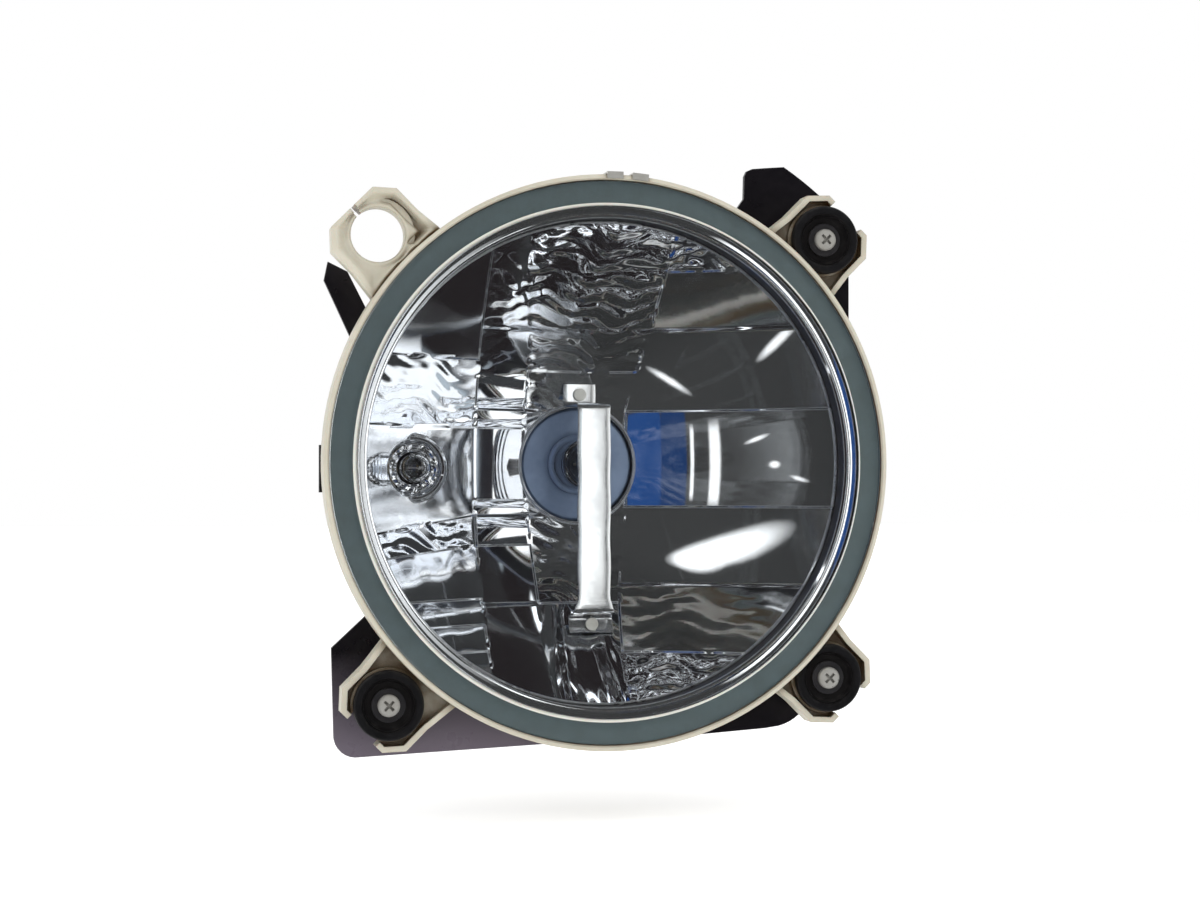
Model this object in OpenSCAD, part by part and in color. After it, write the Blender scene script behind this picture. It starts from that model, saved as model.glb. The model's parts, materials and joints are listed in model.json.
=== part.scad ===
// Round clear-lens fog lamp on a steel bracket.
// Millimetres, +Z up, the lens faces -Y. The origin is the centre of the four vehicle bolt
// holes, on the rear face of the mounting feet and on the lamp's own axis.
// A value named ..._d is a depth: it counts rearwards from the front plane of the rim.

/* [Lamp head] */
// Outer radius of the housing's rim
rim_r = 91; // [90.6:0.1:91.4]
// Outer radius of the lens dome, inside its flat glued flange
dome_r = 80.8; // [80.4:0.1:81]
// How far the middle of the dome stands ahead of its edge
dome_rise = 11; // [8:0.5:16]
// Radius of the reflector's mouth
reflector_r = 79; // [78.4:0.1:79.2]
// Focal length of the reflector's mean paraboloid
focal = 31; // [30.5:0.1:32]
// Radius of the reflector's bulb hole
bulb_hole_r = 19.3; // [19.2:0.1:19.6]

/* [Mounting ears] */
// Radius of the hole in each ear
ear_hole_r = 8.5; // [8.4:0.1:8.8]
// Width of the open mouth of the three ears that hold grommets
ear_mouth = 12.4; // [8:0.2:13]
// Width of the slit in the spare ear
spare_slit = 1.6; // [1:0.2:3]
// Centre of the spare ear, across and up
spare_ear = [-73.6, 70.7];
// Centre of the adjuster's ear, across and up
adjuster_ear = [71.3, 72.4];
// Centre of the left pivot's ear, across and up
left_ear = [-70.4, -75.5];
// Centre of the right pivot's ear, across and up
right_ear = [72.3, -69.5];

/* [Bracket] */
// Thickness of the bracket's steel
steel_t = 2; // [1.5:0.5:2]
// Radius of the opening that the lamp head passes through
opening_r = 79.5; // [79:0.5:80]
// Distance between bolt holes across
bolt_x = 52; // [50:1:54]
// Distance between bolt holes up
bolt_z = 138; // [136:1:140]
// Radius of each bolt hole
bolt_hole_r = 3.3; // [3:0.1:3.5]

/* [Fixings] */
// Radius of the pan head screws' shanks
screw_r = 2; // [1.9:0.05:2]
// Radius of the pan heads
head_r = 3.5; // [3.2:0.1:3.8]
// Radius of the grommets' outer flange
grommet_r = 11; // [10.4:0.1:11.2]

/* [Rear chamber] */
// Outer radius of the chamber's neck
neck_r = 43.5; // [43.5:0.1:43.6]
// Outer radius of the rear cap
cap_r = 49; // [48.8:0.1:49.4]
// Grip ribs round the rear cap
cap_ribs = 18; // [12:1:24]

/* [Hidden] */
$fn = 96;

// Depths along the lamp, from front to rear
flange_d = 0.6;          // front of the lens flange
flange_t = 2.8;
channel_d = 6.4;         // floor of the channel that the lens is glued into
ear_front_d = 7.2;
ear_back_d = 12;
pivot_d = 9.6;           // middle of the grommets, where the lamp tilts
rim_back_d = 9.5;
mouth_d = 9;             // where the reflector's paraboloid starts
plate_d = 22;            // front of the bracket plate
seat_d = 64;             // rear of the reflector's bulb seat
neck_end_d = 74;
feet_d = 48;             // rear face of the mounting feet: the origin's plane
cap_back_d = 98.5;
reflector_t = 2.6;
bowl_gap = 3.4;          // reflector's front to the bowl's inside, along the axis
bowl_out = 6.4;          // reflector's front to the bowl's outside, along the axis
neck_in_r = neck_r - 2.5;
bowl_hole_r = 27;
position_xz = [-59.4, -1.7];
clip_pivot = [29, 67.2]; // height and depth of the bulb clip's axle
wire_r = 0.8;
lead_r = 1.1;
overlap = 0.6;           // how far joined shapes run into each other

// ---- Placing -----------------------------------------------------------------------------
// Extrudes a flat outline (across, up) between two depths
module slab(d0, d1) translate([0, d1 - feet_d, 0]) rotate([90, 0, 0]) linear_extrude(d1 - d0) children();
// Turns an outline (radius, depth) about the lamp's axis, or about an axis beside it
module turned(at = [0, 0]) translate([at[0], -feet_d, at[1]]) rotate([-90, 0, 0]) rotate_extrude() children();
// The same over part of a turn, centred on an angle that counts up from +X towards +Z
module turned_part(mid, span, at = [0, 0])
    translate([at[0], -feet_d, at[1]]) rotate([-90, 0, 0]) rotate([0, 0, -mid - span / 2])
        rotate_extrude(angle = span) children();
// Extrudes an outline (depth, up) sideways, centred on x
module across(x, width) translate([x - width / 2, -feet_d, 0]) rotate([90, 0, 90]) linear_extrude(width) children();
// A round bar along the lamp's axis
module bar(at, r, d0, d1) translate([at[0], d0 - feet_d, at[1]]) rotate([-90, 0, 0]) cylinder(r = r, h = d1 - d0);
// A block between two corners, each given as across, depth, up
module block(a, b) translate([a[0], a[1] - feet_d, a[2]]) cube([b[0] - a[0], b[1] - a[1], b[2] - a[2]]);
// A round wire through a list of points, each given as across, depth, up, with a slightly larger
// knuckle at each bend
knuckle = 0.1;
module wire(points, r, closed = false) {
    n = len(points);
    for (i = [0:n - (closed ? 1 : 2)]) {
        a = points[i];
        v = points[(i + 1) % n] - a;
        translate([a[0], a[1] - feet_d, a[2]])
            rotate([0, acos(v[2] / norm(v)), atan2(v[1], v[0])]) cylinder(r = r, h = norm(v), $fn = 32);
    }
    for (i = [closed ? 0 : 1:n - (closed ? 1 : 2)])
        translate([points[i][0], points[i][1] - feet_d, points[i][2]]) sphere(r = r + knuckle, $fn = 32);
}

// ---- Curves ------------------------------------------------------------------------------
function arc(c, r, a0, a1, n) = [for (i = [0:n]) let (a = a0 + (a1 - a0) * i / n) c + r * [cos(a), sin(a)]];
// Depth of the reflector's mean surface at a radius
function dish(r) = mouth_d + (reflector_r * reflector_r - r * r) / (4 * focal);
function dish_curve(r0, r1, lift, n = 14) = [for (i = [0:n]) let (r = r0 + (r1 - r0) * i / n) [r, dish(r) + lift]];
// Depth of the lens dome's front at a radius
dome_edge_d = flange_d - 3;
dome_radius = (dome_r * dome_r + dome_rise * dome_rise) / (2 * dome_rise);
function dome(r) = dome_edge_d - dome_rise + dome_radius - sqrt(dome_radius * dome_radius - r * r);
function dome_curve(r0, r1, lift, n = 14) = [for (i = [0:n]) let (r = r0 + (r1 - r0) * i / n) [r, dome(r) + lift]];
// Points along a cubic curve, for the leads
function bezier(p, n) = [for (i = [0:n]) let (t = i / n, s = 1 - t)
    s * s * s * p[0] + 3 * s * s * t * p[1] + 3 * s * t * t * p[2] + t * t * t * p[3]];

// ---- Bracket -----------------------------------------------------------------------------
plate_back_d = plate_d + steel_t;
ring_r = 89;
lobe_r = 116.8;
right_edge = 85.5;
lobe_corner = [[44, 80], [49.2, 87.5], [49.4, 94.9], [50.2, 96.6], [52, 97.4], [57, 97.9]];
arm_corners = [[-66, 34], [-72, 42], [-81.5, 60.5], [-87.7, 63.5], [-88.9, 57.6], [-80.2, 38.9], [-76, 30]];
foot_corners = concat([[-60, -40], [-74.7, -47.8], [-86.4, -58.7], [-85.6, -87]],
    arc([-78.6, -86.4], 7, 190, 268, 6), [[-18.8, -90.7], [33.7, -88.8], [55.9, -87.3]],
    arc([57.5, -71.4], 15.6, -78, -40, 5), arc(right_ear, 9, -50, 60, 8), [[60, -40]]);

module bracket_plate() color([0.07, 0.06, 0.08]) difference() {
    slab(plate_d, plate_back_d) union() {
        circle(r = ring_r);
        polygon(concat(lobe_corner, arc([0, 0], lobe_r, 57.4, 43, 8), [[right_edge, 79], [right_edge, 24], [60, 40]]));
        polygon(arm_corners);
        polygon(foot_corners);
        translate([-90.3, -9.5]) square([8, 15]);
    }
    bar([0, 0], opening_r, plate_d - 1, plate_back_d + 1);
    for (ear = [left_ear, right_ear]) bar(ear, screw_r + 0.3, plate_d - 1, plate_back_d + 1);
    slab(plate_d - 1, plate_back_d + 1) translate(adjuster_ear) square(9, center = true);
}

foot_w = 14;
foot_r = 79;             // height of the feet's outer face
foot_len = 18;
module each_foot() for (sx = [-1, 1], sz = [-1, 1]) mirror([sx < 0 ? 1 : 0, 0, 0]) mirror([0, 0, sz < 0 ? 1 : 0])
    children();
module mounting_feet() color([0.09, 0.08, 0.1]) each_foot() difference() {
    union() {
        block([(bolt_x - foot_w) / 2, plate_back_d, foot_r - steel_t], [(bolt_x + foot_w) / 2, feet_d, foot_r]);
        block([(bolt_x - foot_w) / 2, feet_d - steel_t, foot_r - foot_len], [(bolt_x + foot_w) / 2, feet_d, foot_r]);
    }
    bar([bolt_x / 2, bolt_z / 2], bolt_hole_r, feet_d - steel_t - 1, feet_d + 1);
}
module foot_nuts() color([0.72, 0.7, 0.6]) each_foot() difference() {
    slab(feet_d - steel_t - 5, feet_d - steel_t) translate([bolt_x / 2, bolt_z / 2]) circle(r = 5.77, $fn = 6);
    bar([bolt_x / 2, bolt_z / 2], 2.6, feet_d - steel_t - 6, feet_d);
}

// ---- Pivot and adjuster hardware ---------------------------------------------------------
flange_top_d = 4.6;      // front of the sleeves' black flange
module pan_screw(at, length) difference() {
    union() {
        turned(at) polygon(concat([[0, flange_top_d]], [[head_r, flange_top_d]],
            arc([head_r - 1.3, flange_top_d - 0.9], 1.3, 0, -90, 5), [[0, flange_top_d - 2.3]]));
        bar(at, screw_r, flange_top_d - overlap, flange_top_d + length);
    }
    for (a = [0, 90]) slab(0, flange_top_d - 0.9) translate(at) rotate(45 + a) square([3.9, 0.85], center = true);
}
module sleeve(at, end_d) difference() {
    union() {
        bar(at, 5.3, flange_top_d, flange_top_d + 1.3);
        bar(at, 3.7, flange_top_d, end_d);
    }
    bar(at, screw_r + 0.12, flange_top_d - 1, end_d + 1);
}
module pivot_sleeve_left() color([0.1, 0.1, 0.12]) sleeve(left_ear, plate_d);
module pivot_sleeve_right() color([0.1, 0.1, 0.12]) sleeve(right_ear, plate_d);
module pivot_screw_left() color([0.82, 0.8, 0.74]) pan_screw(left_ear, 27);
module pivot_screw_right() color([0.82, 0.8, 0.74]) pan_screw(right_ear, 27);
module pivot_nuts() color([0.75, 0.73, 0.66]) for (ear = [left_ear, right_ear]) difference() {
    slab(plate_back_d, plate_back_d + 3.2) translate(ear) circle(r = 4.04, $fn = 6);
    bar(ear, screw_r + 0.05, plate_back_d - 1, plate_back_d + 5);
}

// The adjuster swings a little as the lamp tilts, so its nut has a wide, short thread
module adjuster_nut() color([0.86, 0.85, 0.8]) difference() {
    union() {
        slab(plate_d - 1.2, plate_d) translate(adjuster_ear) square(13, center = true);
        slab(plate_d - 0.2, plate_back_d + 7) translate(adjuster_ear) square(8.6, center = true);
    }
    bar(adjuster_ear, screw_r + 0.65, plate_d - 3, plate_back_d + 2);
    bar(adjuster_ear, screw_r + 1.4, plate_back_d + 1.5, plate_back_d + 9);
}
bushing_end_d = 15.8;
module adjuster_bushing() color([0.1, 0.1, 0.12]) sleeve(adjuster_ear, bushing_end_d);
module adjuster_screw() color([0.82, 0.8, 0.74]) difference() {
    pan_screw(adjuster_ear, 38);
    turned(adjuster_ear) translate([screw_r - 0.4, bushing_end_d + 0.1]) square([2, 0.7]);
}
module adjuster_clip() color([0.35, 0.35, 0.37]) difference() {
    bar(adjuster_ear, 3.6, bushing_end_d + 0.15, bushing_end_d + 0.75);
    bar(adjuster_ear, screw_r - 0.35, bushing_end_d - 1, bushing_end_d + 2);
    slab(bushing_end_d - 1, bushing_end_d + 2) translate(adjuster_ear + [0, 2.5]) square([2.4, 5], center = true);
}

// Rubber grommet, with a grooved front cup and a waist that fills the ear's hole. Its flange is
// cut away where it meets the rim
module grommet(at) difference() {
    turned(at) polygon(concat([[4.1, 6.4], [5.8, 6.4], [7.1, 5.9], [7.8, 4.6], [8, 3.2]],
        arc([9.6, 3.9], 1.4, 180, 360, 10), [[grommet_r, 5.6], [10.3, 7], [8.2, 7], [8.2, 12.2], [10.2, 12.2],
        [10.6, 13], [10.2, 14.8], [9, 15.5], [4.1, 15.5]]));
    bar([0, 0], rim_r + 0.15, 0, 11);
}
module grommet_upper() color([0.05, 0.05, 0.07]) grommet(adjuster_ear);
module grommet_left() color([0.05, 0.05, 0.07]) grommet(left_ear);
module grommet_right() color([0.05, 0.05, 0.07]) grommet(right_ear);

// ---- Housing -----------------------------------------------------------------------------
ear_wall = 1.8;
function ear_half(inset) = [[-20, 16.2 - inset], [-3, 14.1 - inset], [6.2 - 0.4 * inset, 14.1 - inset],
    [11.7 - inset, 9 - 0.42 * inset]];
function ear_outline(inset) = concat(ear_half(inset),
    [for (i = [3:-1:0]) let (p = ear_half(inset)[i]) [p[0], -p[1]]]);
ears = [[spare_ear, 135, spare_slit], [adjuster_ear, 45, ear_mouth], [left_ear, 225, ear_mouth],
    [right_ear, -45, ear_mouth]];

module ear_solid(at, turn) {
    slab(ear_front_d + 2, ear_back_d) translate(at) rotate(turn) polygon(ear_outline(0));
    slab(ear_front_d - 2.2, ear_back_d + 0.6) translate(at) rotate(turn) difference() {
        polygon(ear_outline(0));
        polygon(ear_outline(ear_wall));
    }
    bar(at, ear_hole_r + 3.1, ear_front_d, ear_back_d);
}
module ear_cut(at, turn, mouth) {
    bar(at, ear_hole_r, 0, ear_back_d + 4);
    slab(0, ear_back_d + 4) translate(at) rotate(turn) translate([0, -mouth / 2]) square([16, mouth]);
}

tube_r = 12.4;
tube_end_d = 47;
rib_lift = 4;
module stiffening_ribs() for (i = [0:7]) translate([0, -feet_d, 0]) rotate([0, 22.5 + 45 * i, 0])
    translate([0, 0, -1]) linear_extrude(2)
        polygon(concat(dish_curve(neck_r - 1, 70, bowl_out - 1, 6), dish_curve(70, neck_r - 1, bowl_out + rib_lift, 6)));

module housing_shell() difference() {
    union() {
        turned() polygon(concat([[0, 0], [rim_r - 0.6, 0], [rim_r, 0.6], [rim_r, rim_back_d]],
            dish_curve(83.5, neck_r, bowl_out), [[neck_r, neck_end_d], [0, neck_end_d]]));
        for (ear = ears) ear_solid(ear[0], ear[1]);
        bar(position_xz, tube_r, 27, tube_end_d);
        stiffening_ribs();
        for (a = [90, 210, 330]) turned_part(a, 30) translate([neck_r - overlap, 68]) square([2.6 + overlap, 3]);
    }
    // the bowl and the rear chamber
    turned() polygon(concat([[0, -1], [rim_r - 1.2, -1], [rim_r - 1.2, 0], [rim_r - 1.7, 0.6], [rim_r - 1.7, channel_d],
        [reflector_r + 1.8, channel_d]], dish_curve(reflector_r + 1.8, bowl_hole_r, bowl_gap),
        dish_curve(bowl_hole_r, neck_in_r, bowl_out), [[neck_in_r, neck_end_d + 1], [0, neck_end_d + 1]]));
    for (ear = ears) ear_cut(ear[0], ear[1], ear[2]);
    // bore of the position lamp's tube, with two lugs left standing at its end
    difference() {
        bar(position_xz, 10, 20, tube_end_d + 1);
        for (a = [0, 180]) turned_part(a, 50, position_xz) translate([8.4, 45]) square([2.2, 1.6]);
    }
    // window for the connector, through the neck's wall
    block([neck_in_r - 4, 54.6, -8.2], [neck_r + 3, 62.8, 8.2]);
}
saddle_screw = [0, 35.4];
saddle_d = 60.4;
function pad_corner(offset) = let (r = saddle_screw[1] + offset) [r, dish(r) + bowl_out - 1];
module housing() color([0.8, 0.76, 0.64]) difference() {
    union() {
        housing_shell();
        // pad that the bulb clip's saddle is screwed to
        turned_part(90, 13) polygon([pad_corner(-4), pad_corner(3.4), [saddle_screw[1] + 3.4, saddle_d],
            [saddle_screw[1] - 4, saddle_d]]);
    }
    bar(saddle_screw, 1.3, 56.8, saddle_d + 1);
}

// ---- Lens --------------------------------------------------------------------------------
lens_t = 3;
flange_end_r = rim_r - 2.1;
module lens() color([0.85, 0.92, 0.92], 0.35) turned() polygon(concat([[0, dome(0)]], dome_curve(1, dome_r, 0),
    [[dome_r, flange_d], [flange_end_r, flange_d], [flange_end_r, flange_d + flange_t],
    [dome_r - 2.9, flange_d + flange_t]], dome_curve(dome_r - 2.9, 1, lens_t), [[0, dome(0) + lens_t]]));
module lens_sealant() color([0.42, 0.49, 0.47]) turned()
    translate([dome_r + 0.3, flange_d + flange_t]) square([flange_end_r - dome_r, channel_d - flange_d - flange_t]);
module lens_clips() color([0.7, 0.68, 0.6]) for (a = [0.3, 5.5]) rotate([0, a, 0]) difference() {
    block([-2.6, -0.8, rim_r - 1.4], [2.6, rim_back_d + 0.8, rim_r + 0.75]);
    block([-3, -0.15, rim_r - 4], [3, rim_back_d + 0.15, rim_r + 0.15]);
}

// ---- Reflector and shield ----------------------------------------------------------------
skirt_d = 3.8;
rivet_z = [23.4, -52.6];
module reflector() color([0.62, 0.64, 0.68]) difference() {
    turned() polygon(concat([[reflector_r, skirt_d], [reflector_r + 1.4, skirt_d]],
        dish_curve(reflector_r + 1.4, bulb_hole_r + 2.7, reflector_t), [[bulb_hole_r + 2.7, seat_d], [bulb_hole_r, seat_d]],
        dish_curve(bulb_hole_r, reflector_r, 0)));
    bar(position_xz, 8.8, 0, 60);
    for (z = rivet_z) bar([0, z], 1.45, 20, 70);
}

strap_w = 11;
strap_t = 0.8;
strap_d = 29.4;          // middle of the strap's front run
strap_path = [[52.8, 27], [52.8, 19.4], [strap_d, 19.4], [strap_d, -45.6], [37.2, -49.4], [33.4, -55.4]];
strap_last = len(strap_path) - 1;
function run_side(i) = let (a = strap_path[i], b = strap_path[i + 1]) [a[1] - b[1], b[0] - a[0]] / norm(b - a);
// From a corner of the strap's middle line to its surface, halfway between the two runs
function mitre(i) = let (m = run_side(max(i - 1, 0)), n = run_side(min(i, strap_last - 1)))
    (m + n) / (1 + m * n) * strap_t / 2;
module glare_shield() color([0.93, 0.94, 0.95]) difference() {
    across(0, strap_w) polygon(concat([for (i = [0:strap_last]) strap_path[i] + mitre(i)],
        [for (i = [strap_last:-1:0]) strap_path[i] - mitre(i)]));
    for (z = rivet_z) bar([0, z], 1.3, 30.5, 58);
}
module shield_rivets() color([0.75, 0.76, 0.78]) for (i = [0, 1]) {
    head_d = [51.7, 32.8][i];
    tail_d = [58.9, 39.2][i];
    bar([0, rivet_z[i]], 1.2, head_d, tail_d);
    bar([0, rivet_z[i]], 2.1, head_d - 0.4, head_d + 0.5);
}

// ---- Main bulb ---------------------------------------------------------------------------
base_front_d = 57.4;
glass_r = 8.3;
glass_tip_d = 34.4;
module bulb_base() color([0.2, 0.23, 0.28]) union() {
    turned() polygon([[0, 54.6], [9, 54.6], [10, 55.4], [10, base_front_d], [18.2, base_front_d], [18.9, 58.1],
        [18.9, seat_d], [21.4, seat_d], [21.4, seat_d + 1.2], [12, seat_d + 1.2], [12, 73], [11, neck_end_d],
        [0, neck_end_d]]);
    for (a = [90, 210, 330]) slab(seat_d, seat_d + 1.2) rotate(a) translate([20, -3]) square([4, 6]);
}
function capsule(r, tip, n = 8) = concat([[0, tip]], [for (i = [1:n]) [r * sin(90 * i / n), tip + r - r * cos(90 * i / n)]]);
module glass_capsule(at, r, wall, tip, end) turned(at) polygon(concat(capsule(r, tip), [[r, end], [0, end], [0, end - wall],
    [r - wall, end - wall]], [for (i = [8:-1:0]) capsule(r - wall, tip + wall)[i]]));
module bulb_glass() color([0.9, 0.95, 1], 0.35) glass_capsule([0, 0], glass_r, 1.1, glass_tip_d, 54.6);
module bulb_filament() color([0.55, 0.52, 0.48]) {
    wire([[-1.6, 53.2, 0], [-1.6, 39.6, 0], [0, 39.6, 0]], 0.4);
    wire([[1.6, 53.2, 0], [1.6, 46.2, 0], [0, 46.2, 0]], 0.4);
    bar([0, 0], 1, 39, 46.8);
}
blades = [[-8, 0, 90], [8, 0, 90], [0, 7, 0]];
module each_blade(grow) for (b = blades) translate([b[0], b[1]]) rotate(b[2])
    square([6.4 + grow, 0.8 + grow], center = true);
module bulb_terminals() color([0.8, 0.78, 0.7]) slab(neck_end_d, neck_end_d + 8) each_blade(0);
plug_back_d = 88;
module bulb_plug() color([0.16, 0.16, 0.18]) difference() {
    slab(neck_end_d + 0.3, plug_back_d) union() {
        square([22, 13], center = true);
        translate([0, 6]) square([12, 6], center = true);
    }
    slab(neck_end_d - 1, neck_end_d + 9) each_blade(0.3);
}

// ---- Leads and connector -----------------------------------------------------------------
pin_x = 35.6;
pin_z = 3;
lead_end_d = 59.4;
function lead_path(z) = concat(bezier([[4, plug_back_d + 0.3, z], [6, 99, z], [pin_x, 97, z], [pin_x, 72, z]], 16),
    [[pin_x, 66, z], [pin_x, lead_end_d, z]]);
// Sweeps a round lead along a path that stays at one height
module lead(path) {
    sides = 8;
    last = len(path) - 1;
    rings = [for (i = [0:last]) let (
        t = path[min(i + 1, last)] - path[max(i - 1, 0)],
        side = [t[1], -t[0], 0] / norm(t))
        for (k = [0:sides - 1]) path[i] + lead_r * (cos(360 * k / sides) * side + sin(360 * k / sides) * [0, 0, 1])];
    skin = [for (i = [0:last - 1], k = [0:sides - 1]) let (a = i * sides + k, b = i * sides + (k + 1) % sides)
        [a, b, b + sides, a + sides]];
    translate([0, -feet_d, 0]) polyhedron(rings, concat(skin, [[for (k = [sides - 1:-1:0]) k],
        [for (k = [0:sides - 1]) last * sides + k]]));
}
module bulb_leads() color([0.6, 0.12, 0.1]) for (z = [-pin_z, pin_z]) lead(lead_path(z));
module connector_housing() color([0.13, 0.13, 0.15]) difference() {
    union() {
        block([38, 54.8, -8], [68, 62.6, 8]);
        block([neck_r + 0.2, 53.6, -10], [neck_r + 1.8, 63.4, 10]);
        block([50, 54.2, -4], [60, 55.4, 4]);
    }
    block([50, 56, -6.8], [69, 61.4, 6.8]);
    for (z = [-pin_z, pin_z]) block([30, 57.6, z - 1.3], [52, 58.8, z + 1.3]);
}
module connector_pins() color([0.83, 0.76, 0.5]) for (z = [-pin_z, pin_z]) union() {
    block([pin_x - 1.2, 57.8, z - 1.2], [62, 58.6, z + 1.2]);
    block([pin_x - 1.2, 58.2, z - 1.2], [pin_x + 1.2, lead_end_d, z + 1.2]);
}

// ---- Bulb clip ---------------------------------------------------------------------------
clip_half = 15;
clip_foot = [-25, 66.2];
module bulb_clip() color([0.8, 0.8, 0.82])
    wire([for (at = [[-1, clip_pivot], [1, clip_pivot], [1, clip_foot], [-1, clip_foot]])
        [at[0] * clip_half, at[1][1], at[1][0]]], wire_r, true);
module clip_saddle() color([0.7, 0.7, 0.72]) difference() {
    union() {
        block([-6, saddle_d, 26.8], [6, saddle_d + 1.4, 39]);
        block([-6, saddle_d, 26.8], [6, 69.4, 31.2]);
    }
    translate([-10, clip_pivot[1] - feet_d, clip_pivot[0]]) rotate([0, 90, 0]) cylinder(r = wire_r + 0.15, h = 20);
    bar(saddle_screw, 1.5, saddle_d - 1, saddle_d + 3);
}
module clip_screw() color([0.8, 0.8, 0.8]) difference() {
    union() {
        bar(saddle_screw, 2.7, saddle_d + 1.4, saddle_d + 3.2);
        bar(saddle_screw, 1.2, 57.2, saddle_d + 2);
    }
    for (a = [0, 90]) slab(saddle_d + 2.2, saddle_d + 4) translate(saddle_screw) rotate(a) square([3.4, 0.7], center = true);
}

// ---- Rear cap ----------------------------------------------------------------------------
cap_in_r = cap_r - 2.4;
cap_front_d = 64;
cap_step_d = 75.4;
module rear_cap() color([0.1, 0.1, 0.11]) union() {
    turned() polygon([[cap_in_r, cap_front_d], [cap_r, cap_front_d], [cap_r, cap_back_d - 1.5], [cap_r - 1.5, cap_back_d],
        [0, cap_back_d], [0, cap_back_d - 2.2], [neck_in_r + 0.3, cap_back_d - 2.2], [neck_in_r + 0.3, cap_step_d],
        [cap_in_r, cap_step_d]]);
    for (i = [1:cap_ribs]) translate([0, -feet_d, 0]) rotate([0, i * 360 / cap_ribs, 0])
        translate([cap_r - 1, 69, -1.5]) cube([2, 26, 3]);
    for (a = [90, 210, 330]) turned_part(a, 26) translate([cap_in_r - 2.6, cap_front_d + 0.6]) square([2.6 + overlap, 2.6]);
    block([-32, cap_back_d - overlap, -4], [32, cap_back_d + 8, 4]);
}
module rear_cap_seal() color([0.3, 0.12, 0.1]) turned()
    translate([neck_in_r + 0.5, neck_end_d + 0.1]) square([1.9, cap_step_d - neck_end_d - 0.1]);
module breather() color([0.06, 0.06, 0.06]) turned([0, 24]) polygon([[0, cap_back_d], [3, cap_back_d], [3, cap_back_d + 1.6],
    [6.4, cap_back_d + 1.6], [6.4, cap_back_d + 4.4], [5.2, cap_back_d + 5.6], [0, cap_back_d + 5.6]]);

// ---- Position lamp -----------------------------------------------------------------------
holder_r = 8;
module position_bulb_holder() color([0.15, 0.15, 0.16]) difference() {
    union() {
        bar(position_xz, holder_r, 31.5, 49);
        bar(position_xz, 12.2, 48.4, 50.2);
        for (a = [0, 180]) turned_part(a, 50, position_xz) translate([holder_r - overlap, 42.6]) square([1.6 + overlap, 1.9]);
        slab(49.6, 60) translate(position_xz) square([17, 8], center = true);
        slab(49.6, 57) translate(position_xz) square([4, 22], center = true);
    }
    bar(position_xz, 5.1, 30, 41);
    slab(52, 61) translate(position_xz) square([13.6, 5], center = true);
    for (s = [-1, 1]) slab(36, 53) translate(position_xz + [s * 3, 0]) square([1.1, 2.9], center = true);
}
module position_bulb_seal() color([0.1, 0.1, 0.1]) turned(position_xz)
    translate([holder_r + 0.1, tube_end_d + 0.1]) square([3, 1.3]);
module position_bulb_glass() color([0.9, 0.95, 1], 0.35) glass_capsule(position_xz, 4.8, 0.8, 17.6, 40.6);
module position_bulb_filament() color([0.6, 0.55, 0.5]) translate([position_xz[0], 0, position_xz[1]])
    wire([[-2, 39, 0], [-2, 24, 0], [2, 24, 0], [2, 39, 0]], 0.3);
module position_contacts() color([0.83, 0.76, 0.5]) for (s = [-1, 1])
    slab(41.2, 55.6) translate(position_xz + [s * 3, 0]) square([0.8, 2.6], center = true);

bracket_plate();
mounting_feet();
foot_nuts();
pivot_sleeve_left();
pivot_sleeve_right();
pivot_screw_left();
pivot_screw_right();
pivot_nuts();
adjuster_nut();
housing();
lens();
lens_sealant();
lens_clips();
reflector();
glare_shield();
shield_rivets();
bulb_base();
bulb_glass();
bulb_filament();
bulb_terminals();
bulb_plug();
bulb_leads();
clip_saddle();
clip_screw();
connector_housing();
connector_pins();
grommet_upper();
grommet_left();
grommet_right();
adjuster_bushing();
adjuster_screw();
adjuster_clip();
rear_cap();
rear_cap_seal();
breather();
position_bulb_holder();
position_bulb_seal();
position_bulb_glass();
position_bulb_filament();
position_contacts();
bulb_clip();
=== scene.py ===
"""Finishes, moulded detail, studio and camera of the round fog lamp."""

import json
import logging
import math
from collections.abc import Callable, Sequence
from dataclasses import dataclass, field
from enum import Enum

import bmesh
import bpy
import numpy as np
from mathutils import Matrix, Vector


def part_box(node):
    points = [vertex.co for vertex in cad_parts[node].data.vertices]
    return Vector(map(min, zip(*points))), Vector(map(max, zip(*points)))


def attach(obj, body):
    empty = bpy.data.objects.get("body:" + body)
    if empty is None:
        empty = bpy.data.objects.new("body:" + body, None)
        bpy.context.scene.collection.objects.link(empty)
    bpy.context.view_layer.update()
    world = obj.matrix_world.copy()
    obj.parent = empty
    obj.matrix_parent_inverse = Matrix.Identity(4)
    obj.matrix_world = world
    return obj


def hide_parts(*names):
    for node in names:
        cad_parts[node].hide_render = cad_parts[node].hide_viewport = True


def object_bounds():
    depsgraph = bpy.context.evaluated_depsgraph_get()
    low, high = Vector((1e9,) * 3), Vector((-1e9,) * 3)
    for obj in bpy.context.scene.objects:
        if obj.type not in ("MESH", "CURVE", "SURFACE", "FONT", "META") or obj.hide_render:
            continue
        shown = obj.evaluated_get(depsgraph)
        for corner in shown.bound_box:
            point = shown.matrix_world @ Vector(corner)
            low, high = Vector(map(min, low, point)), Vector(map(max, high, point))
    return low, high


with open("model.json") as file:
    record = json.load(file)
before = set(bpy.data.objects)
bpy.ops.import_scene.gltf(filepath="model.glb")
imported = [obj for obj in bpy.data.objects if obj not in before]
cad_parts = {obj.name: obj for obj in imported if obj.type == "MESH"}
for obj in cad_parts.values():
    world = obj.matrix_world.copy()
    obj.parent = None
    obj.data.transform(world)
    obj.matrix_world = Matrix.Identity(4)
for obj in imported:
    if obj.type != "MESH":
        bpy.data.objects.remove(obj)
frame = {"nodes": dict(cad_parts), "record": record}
CAD_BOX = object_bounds()

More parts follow.
